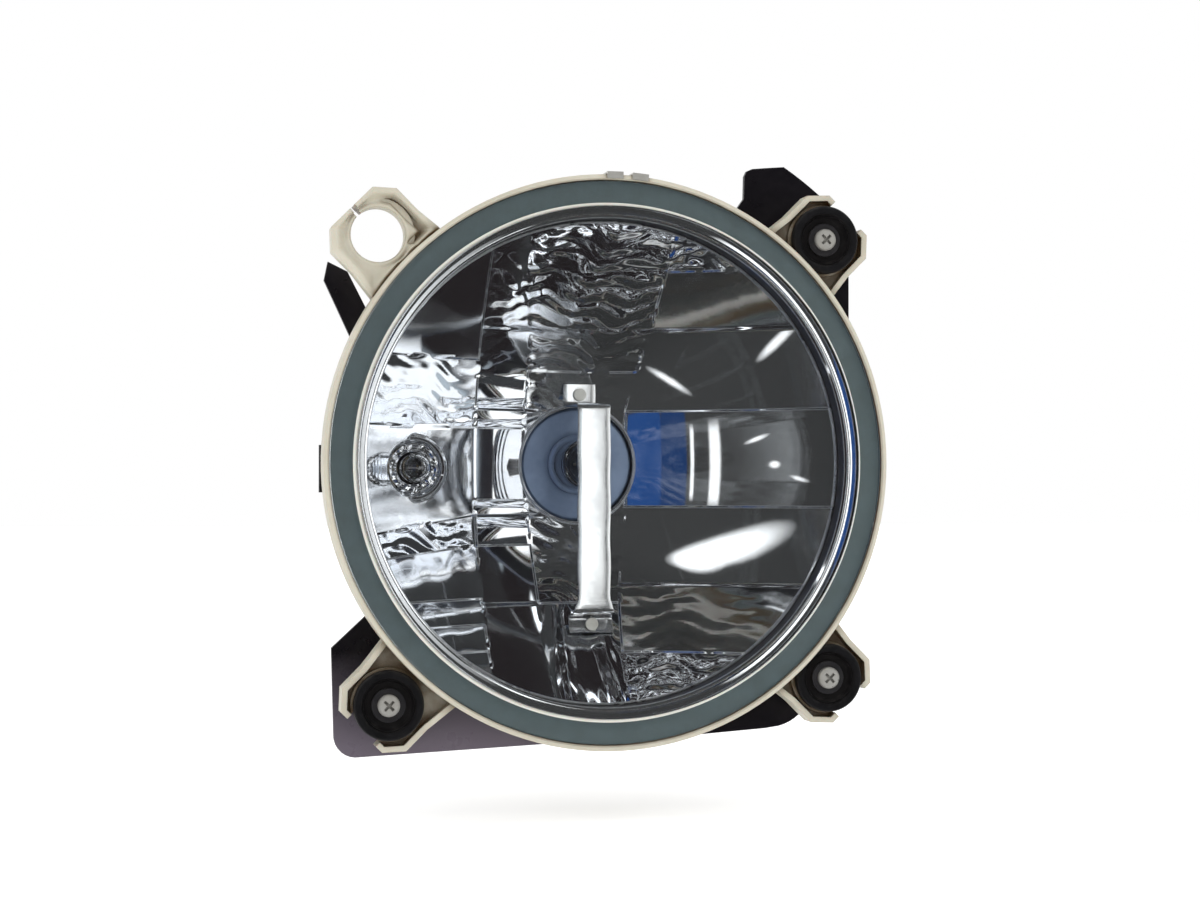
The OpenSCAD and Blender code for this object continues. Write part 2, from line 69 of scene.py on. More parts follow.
LOG = logging.getLogger("fog_lamp")
MM = 0.001
HEAD = "lamp_head"
Tree = bpy.types.NodeTree
Node = bpy.types.Node
Socket = bpy.types.NodeSocket
Material = bpy.types.Material
Values = dict[str | int, object]
Colour = tuple[float, float, float]
Point = tuple[float, float, float]
Flat = tuple[float, float]
Profile = Sequence[Flat]
Shell = tuple[list[Point], list[list[int]]]
WHITE = (1.0, 1.0, 1.0, 1.0)
SQUARE = ((-1, -1), (1, -1), (1, 1), (-1, 1))


class Slot(Enum):
    """The record's material slots."""

    BLACK_PAINT = "black_paint"
    ZINC = "zinc"
    BLACK_PLASTIC = "black_plastic"
    NYLON = "nylon"
    CREAM_PLASTIC = "cream_plastic"
    CLEAR_LENS = "clear_lens"
    SEALANT = "sealant"
    REFLECTOR_METAL = "reflector_metal"
    BRIGHT_STEEL = "bright_steel"
    BULB_CAP_METAL = "bulb_cap_metal"
    BULB_QUARTZ = "bulb_quartz"
    TUNGSTEN = "tungsten"
    BRASS = "brass"
    LEAD_RUBBER = "lead_rubber"
    BLACK_RUBBER = "black_rubber"
    SPRING_STEEL = "spring_steel"


class Effect(Enum):
    """The shader effects that several finishes share."""

    MOTTLE = "Mottle"
    GRAIN = "Grain"
    EDGE_WEAR = "Edge wear"
    GRIME_AND_SHADE = "Grime and shade"
    DUST = "Dust"


# ---- Shader trees ---------------------------------------------------------------------------
def put(tree: Tree, kind: str, inputs: Values | None = None, **settings: object) -> Node:
    """Adds one shader node.

    Args:
        tree: The tree that gets the node.
        kind: The node's Blender type.
        inputs: Values, or sockets to link, by input name or number.
        **settings: The node's own options.

    Returns:
        The new node.
    """
    node = tree.nodes.new(kind)
    for name, value in settings.items():
        setattr(node, name, value)
    for name, value in (inputs or {}).items():
        if isinstance(value, Socket):
            tree.links.new(value, node.inputs[name])
        else:
            node.inputs[name].default_value = value
    return node


def maths(
    tree: Tree, operation: str, a: object, b: object = 0.5, c: object = 0.5, clamp: bool = False
) -> Socket:
    """Adds a Math node and returns its output."""
    return put(tree, "ShaderNodeMath", {0: a, 1: b, 2: c}, operation=operation, use_clamp=clamp).outputs[0]


def mixed(tree: Tree, share: object, a: object, b: object) -> Socket:
    """Mixes two colours.

    Args:
        tree: The tree that gets the node.
        share: Share of the second colour.
        a: First colour, or its socket.
        b: Second colour, or its socket.

    Returns:
        The mixed colour's socket.
    """
    first, second = (v if isinstance(v, Socket) else (*v, 1.0) for v in (a, b))
    return put(tree, "ShaderNodeMix", {0: share, 6: first, 7: second}, data_type="RGBA").outputs[2]


def ranged(
    tree: Tree, value: object, low: object, high: object, start: float = 0.0, end: float = 1.0
) -> Socket:
    """Maps a value from start..end to low..high and returns the result's socket."""
    spans = {"Value": value, "From Min": start, "From Max": end, "To Min": low, "To Max": high}
    return put(tree, "ShaderNodeMapRange", spans).outputs[0]


def place_in(tree: Tree, space: str = "Object") -> Socket:
    """Adds texture coordinates and returns the socket of the ones asked for."""
    return put(tree, "ShaderNodeTexCoord").outputs[space]


def noise(tree: Tree, place: Socket, scale: object, detail: float, rough: float = 0.5) -> Socket:
    """Adds a noise texture and returns its value's socket."""
    inputs = {"Vector": place, "Scale": scale, "Detail": detail, "Roughness": rough}
    return put(tree, "ShaderNodeTexNoise", inputs).outputs["Fac"]


def bump(tree: Tree, height: Socket, distance: object, normal: Socket) -> Socket:
    """Adds a Bump node and returns its normal's socket."""
    inputs = {"Height": height, "Distance": distance, "Normal": normal}
    return put(tree, "ShaderNodeBump", inputs).outputs[0]


def dot(tree: Tree, a: object, b: object) -> Socket:
    """How far two directions point the same way."""
    return put(tree, "ShaderNodeVectorMath", {0: a, 1: b}, operation="DOT_PRODUCT").outputs["Value"]


def rounded(tree: Tree, radius: object) -> Socket:
    """The normal as it would be with every edge rounded."""
    return put(tree, "ShaderNodeBevel", {"Radius": radius}, samples=4).outputs[0]


def principled(tree: Tree, end: Node, inputs: Values) -> None:
    """Ends a material in a Principled shader."""
    tree.links.new(put(tree, "ShaderNodeBsdfPrincipled", inputs).outputs[0], end.inputs[0])


def blend(tree: Tree, share: object, a: Node, b: Node) -> Node:
    """Adds a mix of two shaders."""
    return put(tree, "ShaderNodeMixShader", {0: share, 1: a.outputs[0], 2: b.outputs[0]})


@dataclass
class Effects:
    """Builds each shared shader effect once, as a node group."""

    made: dict[Effect, Tree] = field(default_factory=dict)

    def group(self, effect: Effect) -> Tree:
        """Finds the group of an effect, and builds it at its first use.

        Args:
            effect: The effect asked for.

        Returns:
            The effect's group.
        """
        builders = {
            Effect.MOTTLE: self.mottle,
            Effect.GRAIN: self.grain,
            Effect.EDGE_WEAR: self.edge_wear,
            Effect.GRIME_AND_SHADE: self.grime_and_shade,
            Effect.DUST: self.dust,
        }
        if effect not in self.made:
            self.made[effect] = builders[effect]()
        return self.made[effect]

    def use(self, tree: Tree, effect: Effect, inputs: Values) -> Socket:
        """Places an effect in a material.

        Args:
            tree: The material's tree.
            effect: The effect to place.
            inputs: Its values by input name.

        Returns:
            The effect's one output.
        """
        return put(tree, "ShaderNodeGroup", inputs, node_tree=self.group(effect)).outputs[0]

    @staticmethod
    def start(
        effect: Effect, values: dict[str, float], output: str, normal: bool = False
    ) -> tuple[Tree, dict[str, Socket], Node]:
        """Starts a group with its named sockets.

        Args:
            effect: The effect, whose value names the group.
            values: Names and defaults of the number inputs.
            output: Name of the output.
            normal: Whether the group takes and gives a normal.

        Returns:
            The tree, its input sockets by name, and its output node.
        """
        tree = bpy.data.node_groups.new(effect.value, "ShaderNodeTree")
        for name, value in values.items():
            socket = tree.interface.new_socket(name, in_out="INPUT", socket_type="NodeSocketFloat")
            socket.default_value = value
        if normal:
            tree.interface.new_socket("Normal", in_out="INPUT", socket_type="NodeSocketVector")
        kind = "NodeSocketVector" if normal else "NodeSocketFloat"
        tree.interface.new_socket(output, in_out="OUTPUT", socket_type=kind)
        source = tree.nodes.new("NodeGroupInput")
        return tree, {s.name: s for s in source.outputs if s.name}, tree.nodes.new("NodeGroupOutput")

    def mottle(self) -> Tree:
        """Uneven patches, from 0 to 1, at two sizes.

        Returns:
            The group.
        """
        tree, given, end = self.start(Effect.MOTTLE, {"Scale": 60.0, "Contrast": 1.0}, "Value")
        place = place_in(tree)
        broad = noise(tree, place, given["Scale"], 3.0, 0.6)
        fine = noise(tree, place, maths(tree, "MULTIPLY", given["Scale"], 7.3), 2.0)
        both = maths(tree, "ADD", maths(tree, "MULTIPLY", broad, 0.7), maths(tree, "MULTIPLY", fine, 0.3))
        centred = maths(tree, "MULTIPLY", maths(tree, "SUBTRACT", both, 0.5), given["Contrast"])
        tree.links.new(maths(tree, "MULTIPLY_ADD", centred, 3.0, 0.5, clamp=True), end.inputs[0])
        return tree

    def grain(self) -> Tree:
        """Fine moulded or cast texture, and slow waves, on a normal.

        Returns:
            The group.
        """
        values = {"Scale": 900.0, "Depth": 0.00004, "Waves": 40.0, "Wave depth": 0.0}
        tree, given, end = self.start(Effect.GRAIN, values, "Normal", normal=True)
        place = place_in(tree)
        inputs = {"Vector": place, "Scale": given["Scale"]}
        pits = put(tree, "ShaderNodeTexVoronoi", inputs, feature="SMOOTH_F1").outputs["Distance"]
        pitted = bump(tree, pits, given["Depth"], given["Normal"])
        waved = bump(tree, noise(tree, place, given["Waves"], 1.0), given["Wave depth"], pitted)
        tree.links.new(waved, end.inputs[0])
        return tree

    def edge_wear(self) -> Tree:
        """Mask of outer edges, broken up by noise.

        Returns:
            The group.
        """
        tree, given, end = self.start(Effect.EDGE_WEAR, {"Radius": 0.0006, "Gain": 3.0}, "Mask")
        flat = put(tree, "ShaderNodeNewGeometry").outputs["Normal"]
        facing = dot(tree, rounded(tree, given["Radius"]), flat)
        edge = maths(tree, "MULTIPLY", maths(tree, "SUBTRACT", 1.0, facing), given["Gain"])
        broken = ranged(tree, noise(tree, place_in(tree), 260.0, 4.0), 0.35, 1.25, 0.35, 0.65)
        tree.links.new(maths(tree, "MULTIPLY", edge, broken, clamp=True), end.inputs[0])
        return tree

    def grime_and_shade(self) -> Tree:
        """Mask of corners and grooves, from ambient occlusion: dirt, and painted shade where less light
        reaches.

        Returns:
            The group.
        """
        tree, given, end = self.start(Effect.GRIME_AND_SHADE, {"Reach": 0.004, "Gain": 1.4}, "Mask")
        shade = put(tree, "ShaderNodeAmbientOcclusion", {"Distance": given["Reach"]}, samples=6)
        occlusion = maths(tree, "MULTIPLY", maths(tree, "SUBTRACT", 1.0, shade.outputs["AO"]), given["Gain"])
        uneven = ranged(tree, noise(tree, place_in(tree), 120.0, 5.0), 0.5, 1.3, 0.3, 0.7)
        tree.links.new(maths(tree, "MULTIPLY", occlusion, uneven, clamp=True), end.inputs[0])
        return tree

    def dust(self) -> Tree:
        """Mask of upward faces, with specks.

        Returns:
            The group.
        """
        tree, given, end = self.start(Effect.DUST, {"Amount": 0.3}, "Mask")
        normal = put(tree, "ShaderNodeNewGeometry").outputs["Normal"]
        up = put(tree, "ShaderNodeSeparateXYZ", {0: normal}).outputs["Z"]
        lying = ranged(tree, up, 0.15, 1.0, 0.2, 0.95)
        specks = ranged(tree, noise(tree, place_in(tree), 340.0, 6.0), 0.0, 1.0, 0.42, 0.72)
        both = maths(tree, "MULTIPLY", lying, specks)
        tree.links.new(maths(tree, "MULTIPLY", both, given["Amount"], clamp=True), end.inputs[0])
        return tree


EFFECTS = Effects()


def new_material(name: str) -> tuple[Material, Tree, Node]:
    """Makes a material with only its output node.

    Args:
        name: The material's name.

    Returns:
        The material, its tree and the output node.
    """
    material = bpy.data.materials.new(name)
    material.use_nodes = True
    tree = material.node_tree
    tree.nodes.clear()
    return material, tree, tree.nodes.new("ShaderNodeOutputMaterial")


# ---- Finishes -------------------------------------------------------------------------------
@dataclass(frozen=True)
class MouldedFinish:
    """Plastic, rubber or paint: a mottled colour with grain, worn edges, dust, grime with painted shade in
    its corners and grooves, and on the black paint a painted sheen lower down.
    """

    colour: Colour
    shade: Colour
    rough: Flat = (0.35, 0.55)
    mottle: float = 60.0
    grain: float = 900.0
    grain_depth: float = 0.00003
    waves: float = 40.0
    wave_depth: float = 0.0001
    edge: Colour = (0.3, 0.3, 0.3)
    edge_gain: float = 1.0
    edge_radius: float = 0.0006
    # Colour laid into corners and grooves by ambient occlusion: dirt, and painted shade.
    grime_and_shade: Colour = (0.05, 0.04, 0.03)
    grime_and_shade_gain: float = 0.8
    grime_and_shade_reach: float = 0.004
    dust: float = 0.15
    specular: float = 0.5
    through: float = 0.0
    through_scale: float = 0.002
    # Painted sheen: the colour turns lighter towards the bottom left, standing in for reflected light.
    painted_sheen: Colour | None = None
    painted_sheen_z: Flat = (-0.06, -0.09)
    painted_sheen_x: Flat = (0.02, -0.03)
    dust_colour: Colour = (0.42, 0.4, 0.36)
    dust_rough: float = 0.3

    def build(self, name: str) -> Material:
        """Makes the material.

        Args:
            name: The material's name.

        Returns:
            The material.
        """
        material, tree, end = new_material(name)
        patches = EFFECTS.use(tree, Effect.MOTTLE, {"Scale": self.mottle, "Contrast": 1.0})
        worn = EFFECTS.use(tree, Effect.EDGE_WEAR, {"Radius": self.edge_radius, "Gain": self.edge_gain})
        # Ambient-occlusion mask: painted shade in corners and grooves, together with dirt.
        occlusion = EFFECTS.use(tree, Effect.GRIME_AND_SHADE, {"Reach": self.grime_and_shade_reach, "Gain": self.grime_and_shade_gain})
        lying = EFFECTS.use(tree, Effect.DUST, {"Amount": self.dust})
        colour = mixed(tree, patches, self.colour, self.shade)
        colour = mixed(tree, worn, colour, self.edge)
        colour = mixed(tree, occlusion, colour, self.grime_and_shade)
        colour = mixed(tree, lying, colour, self.dust_colour)
        # Painted sheen: lighter towards the bottom left, in place of a reflected light.
        if self.painted_sheen:
            place = put(tree, "ShaderNodeSeparateXYZ", {0: place_in(tree)})
            low = ranged(tree, place.outputs["Z"], 0.0, 1.0, *self.painted_sheen_z)
            left = ranged(tree, place.outputs["X"], 0.0, 1.0, *self.painted_sheen_x)
            colour = mixed(tree, maths(tree, "MULTIPLY", low, left), colour, self.painted_sheen)
        rough = ranged(tree, patches, *self.rough)
        rough = maths(tree, "ADD", rough, maths(tree, "MULTIPLY", lying, self.dust_rough), clamp=True)
        grain = {
            "Scale": self.grain,
            "Depth": self.grain_depth,
            "Waves": self.waves,
            "Wave depth": self.wave_depth,
            "Normal": rounded(tree, self.edge_radius),
        }
        surface = {
            "Base Color": colour,
            "Roughness": rough,
            "Normal": EFFECTS.use(tree, Effect.GRAIN, grain),
            "Specular IOR Level": self.specular,
            "Subsurface Weight": self.through,
            "Subsurface Scale": self.through_scale,
        }
        principled(tree, end, surface)
        return material


@dataclass(frozen=True)
class MetalFinish:
    """Bare or plated metal, with patches, brushing or ripples, and tarnish in its corners."""

    colour: Colour
    shade: Colour
    rough: Flat = (0.15, 0.35)
    mottle: float = 90.0
    brush: Point = (1.0, 1.0, 1.0)
    brush_scale: float = 500.0
    brush_depth: float = 0.00001
    tarnish: Colour = (0.08, 0.07, 0.06)
    tarnish_gain: float = 0.7
    tarnish_reach: float = 0.002
    edge_radius: float = 0.0003
    metallic: float = 1.0
    satin_edge: float = 0.0
    satin_radius: float = 0.0005
    satin_gain: float = 25.0

    def build(self, name: str) -> Material:
        """Makes the material.

        Args:
            name: The material's name.

        Returns:
            The material.
        """
        material, tree, end = new_material(name)
        patches = EFFECTS.use(tree, Effect.MOTTLE, {"Scale": self.mottle, "Contrast": 0.9})
        occlusion = EFFECTS.use(tree, Effect.GRIME_AND_SHADE, {"Reach": self.tarnish_reach, "Gain": self.tarnish_gain})
        colour = mixed(tree, occlusion, mixed(tree, patches, self.colour, self.shade), self.tarnish)
        drawn = put(tree, "ShaderNodeMapping", {"Vector": place_in(tree), "Scale": self.brush}).outputs[0]
        rough = ranged(tree, patches, *self.rough)
        if self.satin_edge:
            wear = {"Radius": self.satin_radius, "Gain": self.satin_gain}
            worn = EFFECTS.use(tree, Effect.EDGE_WEAR, wear)
            rough = maths(tree, "MULTIPLY_ADD", worn, self.satin_edge, self.rough[0])
        lines = noise(tree, drawn, self.brush_scale, 3.0)
        surface = {
            "Base Color": colour,
            "Metallic": self.metallic,
            "Roughness": rough,
            "Normal": bump(tree, lines, self.brush_depth, rounded(tree, self.edge_radius)),
        }
        principled(tree, end, surface)
        return material


@dataclass(frozen=True)
class GlassFinish:
    """Clear glass or acrylic with faint smears, which lets lamps light what is behind it."""

    tint: Colour
    ior: float = 1.5
    rough: Flat = (0.0, 0.04)
    smear_scale: float = 25.0
    specular: float = 0.5
    smear_shade: float = 0.97

    def build(self, name: str) -> Material:
        """Makes the material.

        Args:
            name: The material's name.

        Returns:
            The material.
        """
        material, tree, end = new_material(name)
        patches = EFFECTS.use(tree, Effect.MOTTLE, {"Scale": self.smear_scale, "Contrast": 0.8})
        smeared = tuple(self.smear_shade * part for part in self.tint)
        shader = put(
            tree,
            "ShaderNodeBsdfPrincipled",
            {
                "Base Color": mixed(tree, patches, self.tint, smeared),
                "Roughness": ranged(tree, patches, *self.rough),
                "Transmission Weight": 1.0,
                "IOR": self.ior,
                "Specular IOR Level": self.specular,
            },
        )
        clear = put(tree, "ShaderNodeBsdfTransparent", {"Color": (*self.tint, 1.0)})
        shadow = put(tree, "ShaderNodeLightPath").outputs["Is Shadow Ray"]
        tree.links.new(blend(tree, shadow, shader, clear).outputs[0], end.inputs[0])
        return material


Finish = MouldedFinish | MetalFinish | GlassFinish

FINISHES: dict[Slot, Finish] = {
    Slot.BLACK_PAINT: MouldedFinish(
        (0.005, 0.004, 0.006),
        (0.009, 0.007, 0.011),
        rough=(0.24, 0.36),
        grain=420.0,
        grain_depth=0.00003,
        waves=70.0,
        wave_depth=0.0001,
        edge=(0.07, 0.065, 0.075),
        edge_gain=0.8,
        grime_and_shade=(0.02, 0.017, 0.016),
        grime_and_shade_gain=0.4,
        dust=0.04,
        specular=0.3,
        # Painted sheen of reflected light, lighter on the bracket's lower left.
        painted_sheen=(0.155, 0.132, 0.165),
    ),
    Slot.ZINC: MetalFinish(
        (0.78, 0.77, 0.73), (0.62, 0.6, 0.54), rough=(0.25, 0.42), tarnish=(0.04, 0.035, 0.03), metallic=0.6
    ),
    Slot.BLACK_PLASTIC: MouldedFinish(
        (0.014, 0.014, 0.017),
        (0.022, 0.021, 0.026),
        rough=(0.3, 0.45),
        edge=(0.06, 0.06, 0.07),
        grime_and_shade_gain=0.5,
    ),
    Slot.NYLON: MouldedFinish(
        (0.88, 0.87, 0.8),
        (0.8, 0.78, 0.7),
        rough=(0.4, 0.55),
        edge=(0.92, 0.91, 0.86),
        edge_gain=0.6,
        grime_and_shade_gain=0.1,
        through=0.15,
    ),
    Slot.CREAM_PLASTIC: MouldedFinish(
        (0.64, 0.61, 0.505),
        (0.56, 0.525, 0.42),
        rough=(0.3, 0.46),
        mottle=42.0,
        grain=700.0,
        grain_depth=0.00002,
        waves=30.0,
        wave_depth=0.00025,
        edge=(0.82, 0.79, 0.68),
        edge_gain=1.3,
        edge_radius=0.0007,
        # Ochre in the grooves: painted shade, with some dirt.
        grime_and_shade=(0.13, 0.08, 0.035),
        grime_and_shade_gain=1.5,
        grime_and_shade_reach=0.006,
        dust=0.08,
        through=0.08,
    ),
    Slot.CLEAR_LENS: GlassFinish((0.985, 0.995, 0.99), ior=1.49, rough=(0.0, 0.012), specular=0.05),
    Slot.SEALANT: MouldedFinish(
        (0.155, 0.212, 0.225),
        (0.142, 0.185, 0.192),
        rough=(0.5, 0.7),
        mottle=160.0,
        grain=300.0,
        grain_depth=0.0001,
        edge=(0.16, 0.2, 0.19),
        edge_gain=0.5,
        grime_and_shade_gain=0.0,
        dust=0.0,
    ),
    Slot.REFLECTOR_METAL: MetalFinish(
        (0.86, 0.88, 0.91),
        (0.82, 0.84, 0.875),
        rough=(0.035, 0.075),
        mottle=35.0,
        brush_scale=160.0,
        brush_depth=0.000004,
        tarnish=(0.5, 0.5, 0.52),
        tarnish_gain=0.3,
        edge_radius=0.00012,
        satin_edge=0.55,
    ),
    Slot.BRIGHT_STEEL: MetalFinish(
        (0.93, 0.94, 0.95),
        (0.88, 0.89, 0.91),
        rough=(0.12, 0.22),
        brush=(1.0, 1.0, 8.0),
        brush_scale=300.0,
        brush_depth=0.000006,
        tarnish=(0.3, 0.3, 0.32),
    ),
    Slot.BULB_CAP_METAL: MetalFinish(
        (0.27, 0.35, 0.5),
        (0.21, 0.28, 0.42),
        rough=(0.3, 0.45),
        tarnish=(0.02, 0.03, 0.05),
        tarnish_reach=0.002,
        metallic=0.45,
    ),
    Slot.BULB_QUARTZ: GlassFinish((0.97, 0.98, 1.0), ior=1.46, rough=(0.0, 0.03), smear_scale=90.0),
    Slot.TUNGSTEN: MetalFinish((0.42, 0.4, 0.39), (0.3, 0.28, 0.27), rough=(0.35, 0.5)),
    Slot.BRASS: MetalFinish(
        (0.83, 0.71, 0.44), (0.68, 0.55, 0.3), rough=(0.2, 0.36), tarnish=(0.2, 0.12, 0.05)
    ),
    Slot.LEAD_RUBBER: MouldedFinish(
        (0.33, 0.035, 0.03), (0.25, 0.025, 0.02), rough=(0.4, 0.55), edge=(0.45, 0.08, 0.06), edge_gain=0.4
    ),
    Slot.BLACK_RUBBER: MouldedFinish(
        (0.005, 0.005, 0.006),
        (0.009, 0.0085, 0.011),
        rough=(0.38, 0.58),
        mottle=120.0,
        grain=1100.0,
        grain_depth=0.00003,
        edge=(0.03, 0.03, 0.036),
        edge_gain=0.7,
        grime_and_shade_gain=0.3,
        dust=0.05,
        specular=0.3,
    ),
    Slot.SPRING_STEEL: MetalFinish(
        (0.62, 0.61, 0.59),
        (0.46, 0.45, 0.43),
        rough=(0.25, 0.4),
        brush_scale=700.0,
        tarnish=(0.12, 0.09, 0.06),
        metallic=0.6,
    ),
}


@dataclass
class Paintshop:
    """Makes each slot's material once and dresses nodes and pieces with it."""

    made: dict[Slot, Material] = field(default_factory=dict)

    def material(self, slot: Slot) -> Material:
        """Finds a slot's material, and makes it at its first use.

        Args:
            slot: The slot.

        Returns:
            The material.
        """
        if slot not in self.made:
            self.made[slot] = FINISHES[slot].build(slot.value.replace("_", " ").capitalize())
        return self.made[slot]

    def dress_nodes(self) -> None:
        """Gives every CAD node the material of its slot."""
        for row in frame["record"]["subparts"]:
            mesh = frame["nodes"][row["node"]].data
            mesh.materials.clear()
            mesh.materials.append(self.material(Slot(row["material_slot"])))
            LOG.info("%s: %s", row["node"], row["material_slot"])

    def dress(self, piece: bpy.types.Object, slot: Slot, *nodes: str) -> None:
        """Finishes a new piece and has it stand for CAD nodes.

        Args:
            piece: The new piece, in place.
            slot: The slot it takes its finish from.
            *nodes: The CAD nodes that it replaces.
        """
        piece.data.materials.append(self.material(slot))
        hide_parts(*nodes)
        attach(piece, HEAD)
        LOG.info("%s: %d faces for %s", piece.name, len(piece.data.polygons), ", ".join(nodes))

    def make(self, name: str, shell: Shell, angle: float, slot: Slot, *nodes: str) -> None:
        """Makes a piece of one closed shell and dresses it.

        Args:
            name: The piece's name.
            shell: Its vertices and faces.
            angle: Edges sharper than this, in degrees, stay crisp.
            slot: The slot it takes its finish from.
            *nodes: The CAD nodes that it replaces.
        """
        piece = object_of(name, *shell)
        outward(piece, angle)
        self.dress(piece, slot, *nodes)


# ---- Meshes ---------------------------------------------------------------------------------
FRONT_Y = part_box("housing")[0].y


def at(x: float, depth: float, z: float) -> Point:
    """A point from across, depth behind the rim's front plane and up, in millimetres."""
    return (x * MM, FRONT_Y + depth * MM, z * MM)


def object_of(name: str, vertices: Sequence[Point], faces: Sequence[Sequence[int]]) -> bpy.types.Object:
    """Makes a mesh object in the scene.

    Args:
        name: Name of the object and its mesh.
        vertices: Its points.
        faces: Its faces, as numbers of points.

    Returns:
        The object.
    """
    mesh = bpy.data.meshes.new(name)
    mesh.from_pydata([tuple(v) for v in vertices], [], [tuple(f) for f in faces])
    mesh.validate()
    piece = bpy.data.objects.new(name, mesh)
    bpy.context.scene.collection.objects.link(piece)
    return piece


def outward(piece: bpy.types.Object, angle: float = 35.0) -> None:
    """Turns the faces outwards, and shades them smooth except over sharp angles.

    Args:
        piece: The piece to shade.
        angle: Edges sharper than this, in degrees, stay crisp.
    """
    shape = bmesh.new()
    shape.from_mesh(piece.data)
    bmesh.ops.remove_doubles(shape, verts=shape.verts, dist=1e-7)
    bmesh.ops.recalc_face_normals(shape, faces=shape.faces)
    shape.to_mesh(piece.data)
    shape.free()
    piece.data.polygons.foreach_set("use_smooth", [True] * len(piece.data.polygons))
    piece.data.set_sharp_from_angle(angle=math.radians(angle))


def lathe(
    profile: Profile, segments: int = 192, centre: Flat = (0.0, 0.0), closed: bool = True
) -> Shell:
    """Turns a profile about an axis along the lamp.

    Args:
        profile: Radius and depth of each point; a radius of 0 becomes a pole.
        segments: Steps round the turn.
        centre: Where the axis stands, across and up.
        closed: Whether the profile's last point joins its first.

    Returns:
        The vertices and the faces.
    """
    vertices: list[Point] = []
    rings: list[list[int]] = []
    turns = [2 * math.pi * k / segments for k in range(segments)]
    for radius, depth in profile:
        first = len(vertices)
        steps = turns if radius else turns[:1]
        for turn in steps:
            across, up = radius * math.cos(turn), radius * math.sin(turn)
            vertices.append(at(centre[0] + across, depth, centre[1] + up))
        rings.append([first + k % len(steps) for k in range(segments)])
    faces: list[list[int]] = []
    for i in range(len(rings) if closed else len(rings) - 1):
        a, b = rings[i], rings[(i + 1) % len(rings)]
        for k in range(segments):
            following = (k + 1) % segments
            face = list(dict.fromkeys([a[k], a[following], b[following], b[k]]))
            if len(face) > 2:
                faces.append(face)
    return vertices, faces


def wire(radius: float, depth: float, wire_r: float, steps: int) -> Profile:
    """The profile of a round wire that is bent to a ring of a radius, at a depth."""
    turns = np.linspace(0, 2 * math.pi, steps, endpoint=False)
    return [(radius + wire_r * math.cos(turn), depth + wire_r * math.sin(turn)) for turn in turns]


def slab(front: list[Point], back: list[Point], wide: int) -> Shell:
    """Closes two grids of points, one behind the other, to a slab.

    Args:
        front: The front's points, row after row.
        back: The back's points, in the same order.
        wide: Points in a row.

    Returns:
        The vertices and the faces.
    """
    count = len(front)
    faces: list[list[int]] = []
    for row in range(count // wide - 1):
        for a in range(row * wide, row * wide + wide - 1):
            loop = [a, a + 1, a + wide + 1, a + wide]
            faces += [loop, [k + count for k in reversed(loop)]]
    ends = (range(wide), range(count - wide, count))
    for side in (*ends, range(0, count, wide), range(wide - 1, count, wide)):
        faces += [[p, q, q + count, p + count] for p, q in zip(side, side[1:])]
    return [*front, *back], faces


def fillet(a: Flat, corner: Flat, b: Flat, radius: float, steps: int = 6) -> list[Flat]:
    """Rounds the corner between two runs of a flat path.

    Args:
        a: A point before the corner.
        corner: The corner.
        b: A point after it.
        radius: Radius of the rounding.
        steps: Steps round it.

    Returns:
        The points of the rounding.
    """
    p, c, q = (np.array(v, float) for v in (a, corner, b))
    u, v = (p - c) / np.linalg.norm(p - c), (q - c) / np.linalg.norm(q - c)
    half = math.acos(max(-1.0, min(1.0, float(u @ v)))) / 2
    reach = min(radius / math.tan(half), 0.48 * np.linalg.norm(p - c), 0.48 * np.linalg.norm(q - c))
    start, end = c + u * reach, c + v * reach
    shares = (i / steps for i in range(steps + 1))
    return [tuple((1 - t) ** 2 * start + 2 * t * (1 - t) * c + t * t * end) for t in shares]


def with_rest(piece: bpy.types.Object, other: Shell) -> None:
    """Adds another closed shell to a piece's mesh.

    Args:
        piece: The piece.
        other: Vertices and faces of the shell.
    """
    shape = bmesh.new()
    shape.from_mesh(piece.data)
    added = [shape.verts.new(v) for v in other[0]]
    for face in other[1]:
        shape.faces.new([added[i] for i in face])
    shape.to_mesh(piece.data)
    shape.free()


def cut(piece: bpy.types.Object, tools: Sequence[tuple[bpy.types.Object, str]]) -> None:
    """Cuts or trims a piece's mesh.

    Args:
        piece: The piece.
        tools: Each tool's object, which is used up, and DIFFERENCE or INTERSECT.
    """
    for tool, operation in tools:
        modifier = piece.modifiers.new("Cut", "BOOLEAN")
        modifier.operation, modifier.object, modifier.solver = operation, tool, "EXACT"
    bpy.context.view_layer.update()
    graph = bpy.context.evaluated_depsgraph_get()
    mesh = bpy.data.meshes.new_from_object(piece.evaluated_get(graph))
    piece.modifiers.clear()
    piece.data = mesh
    for tool, _ in tools:
        bpy.data.objects.remove(tool)


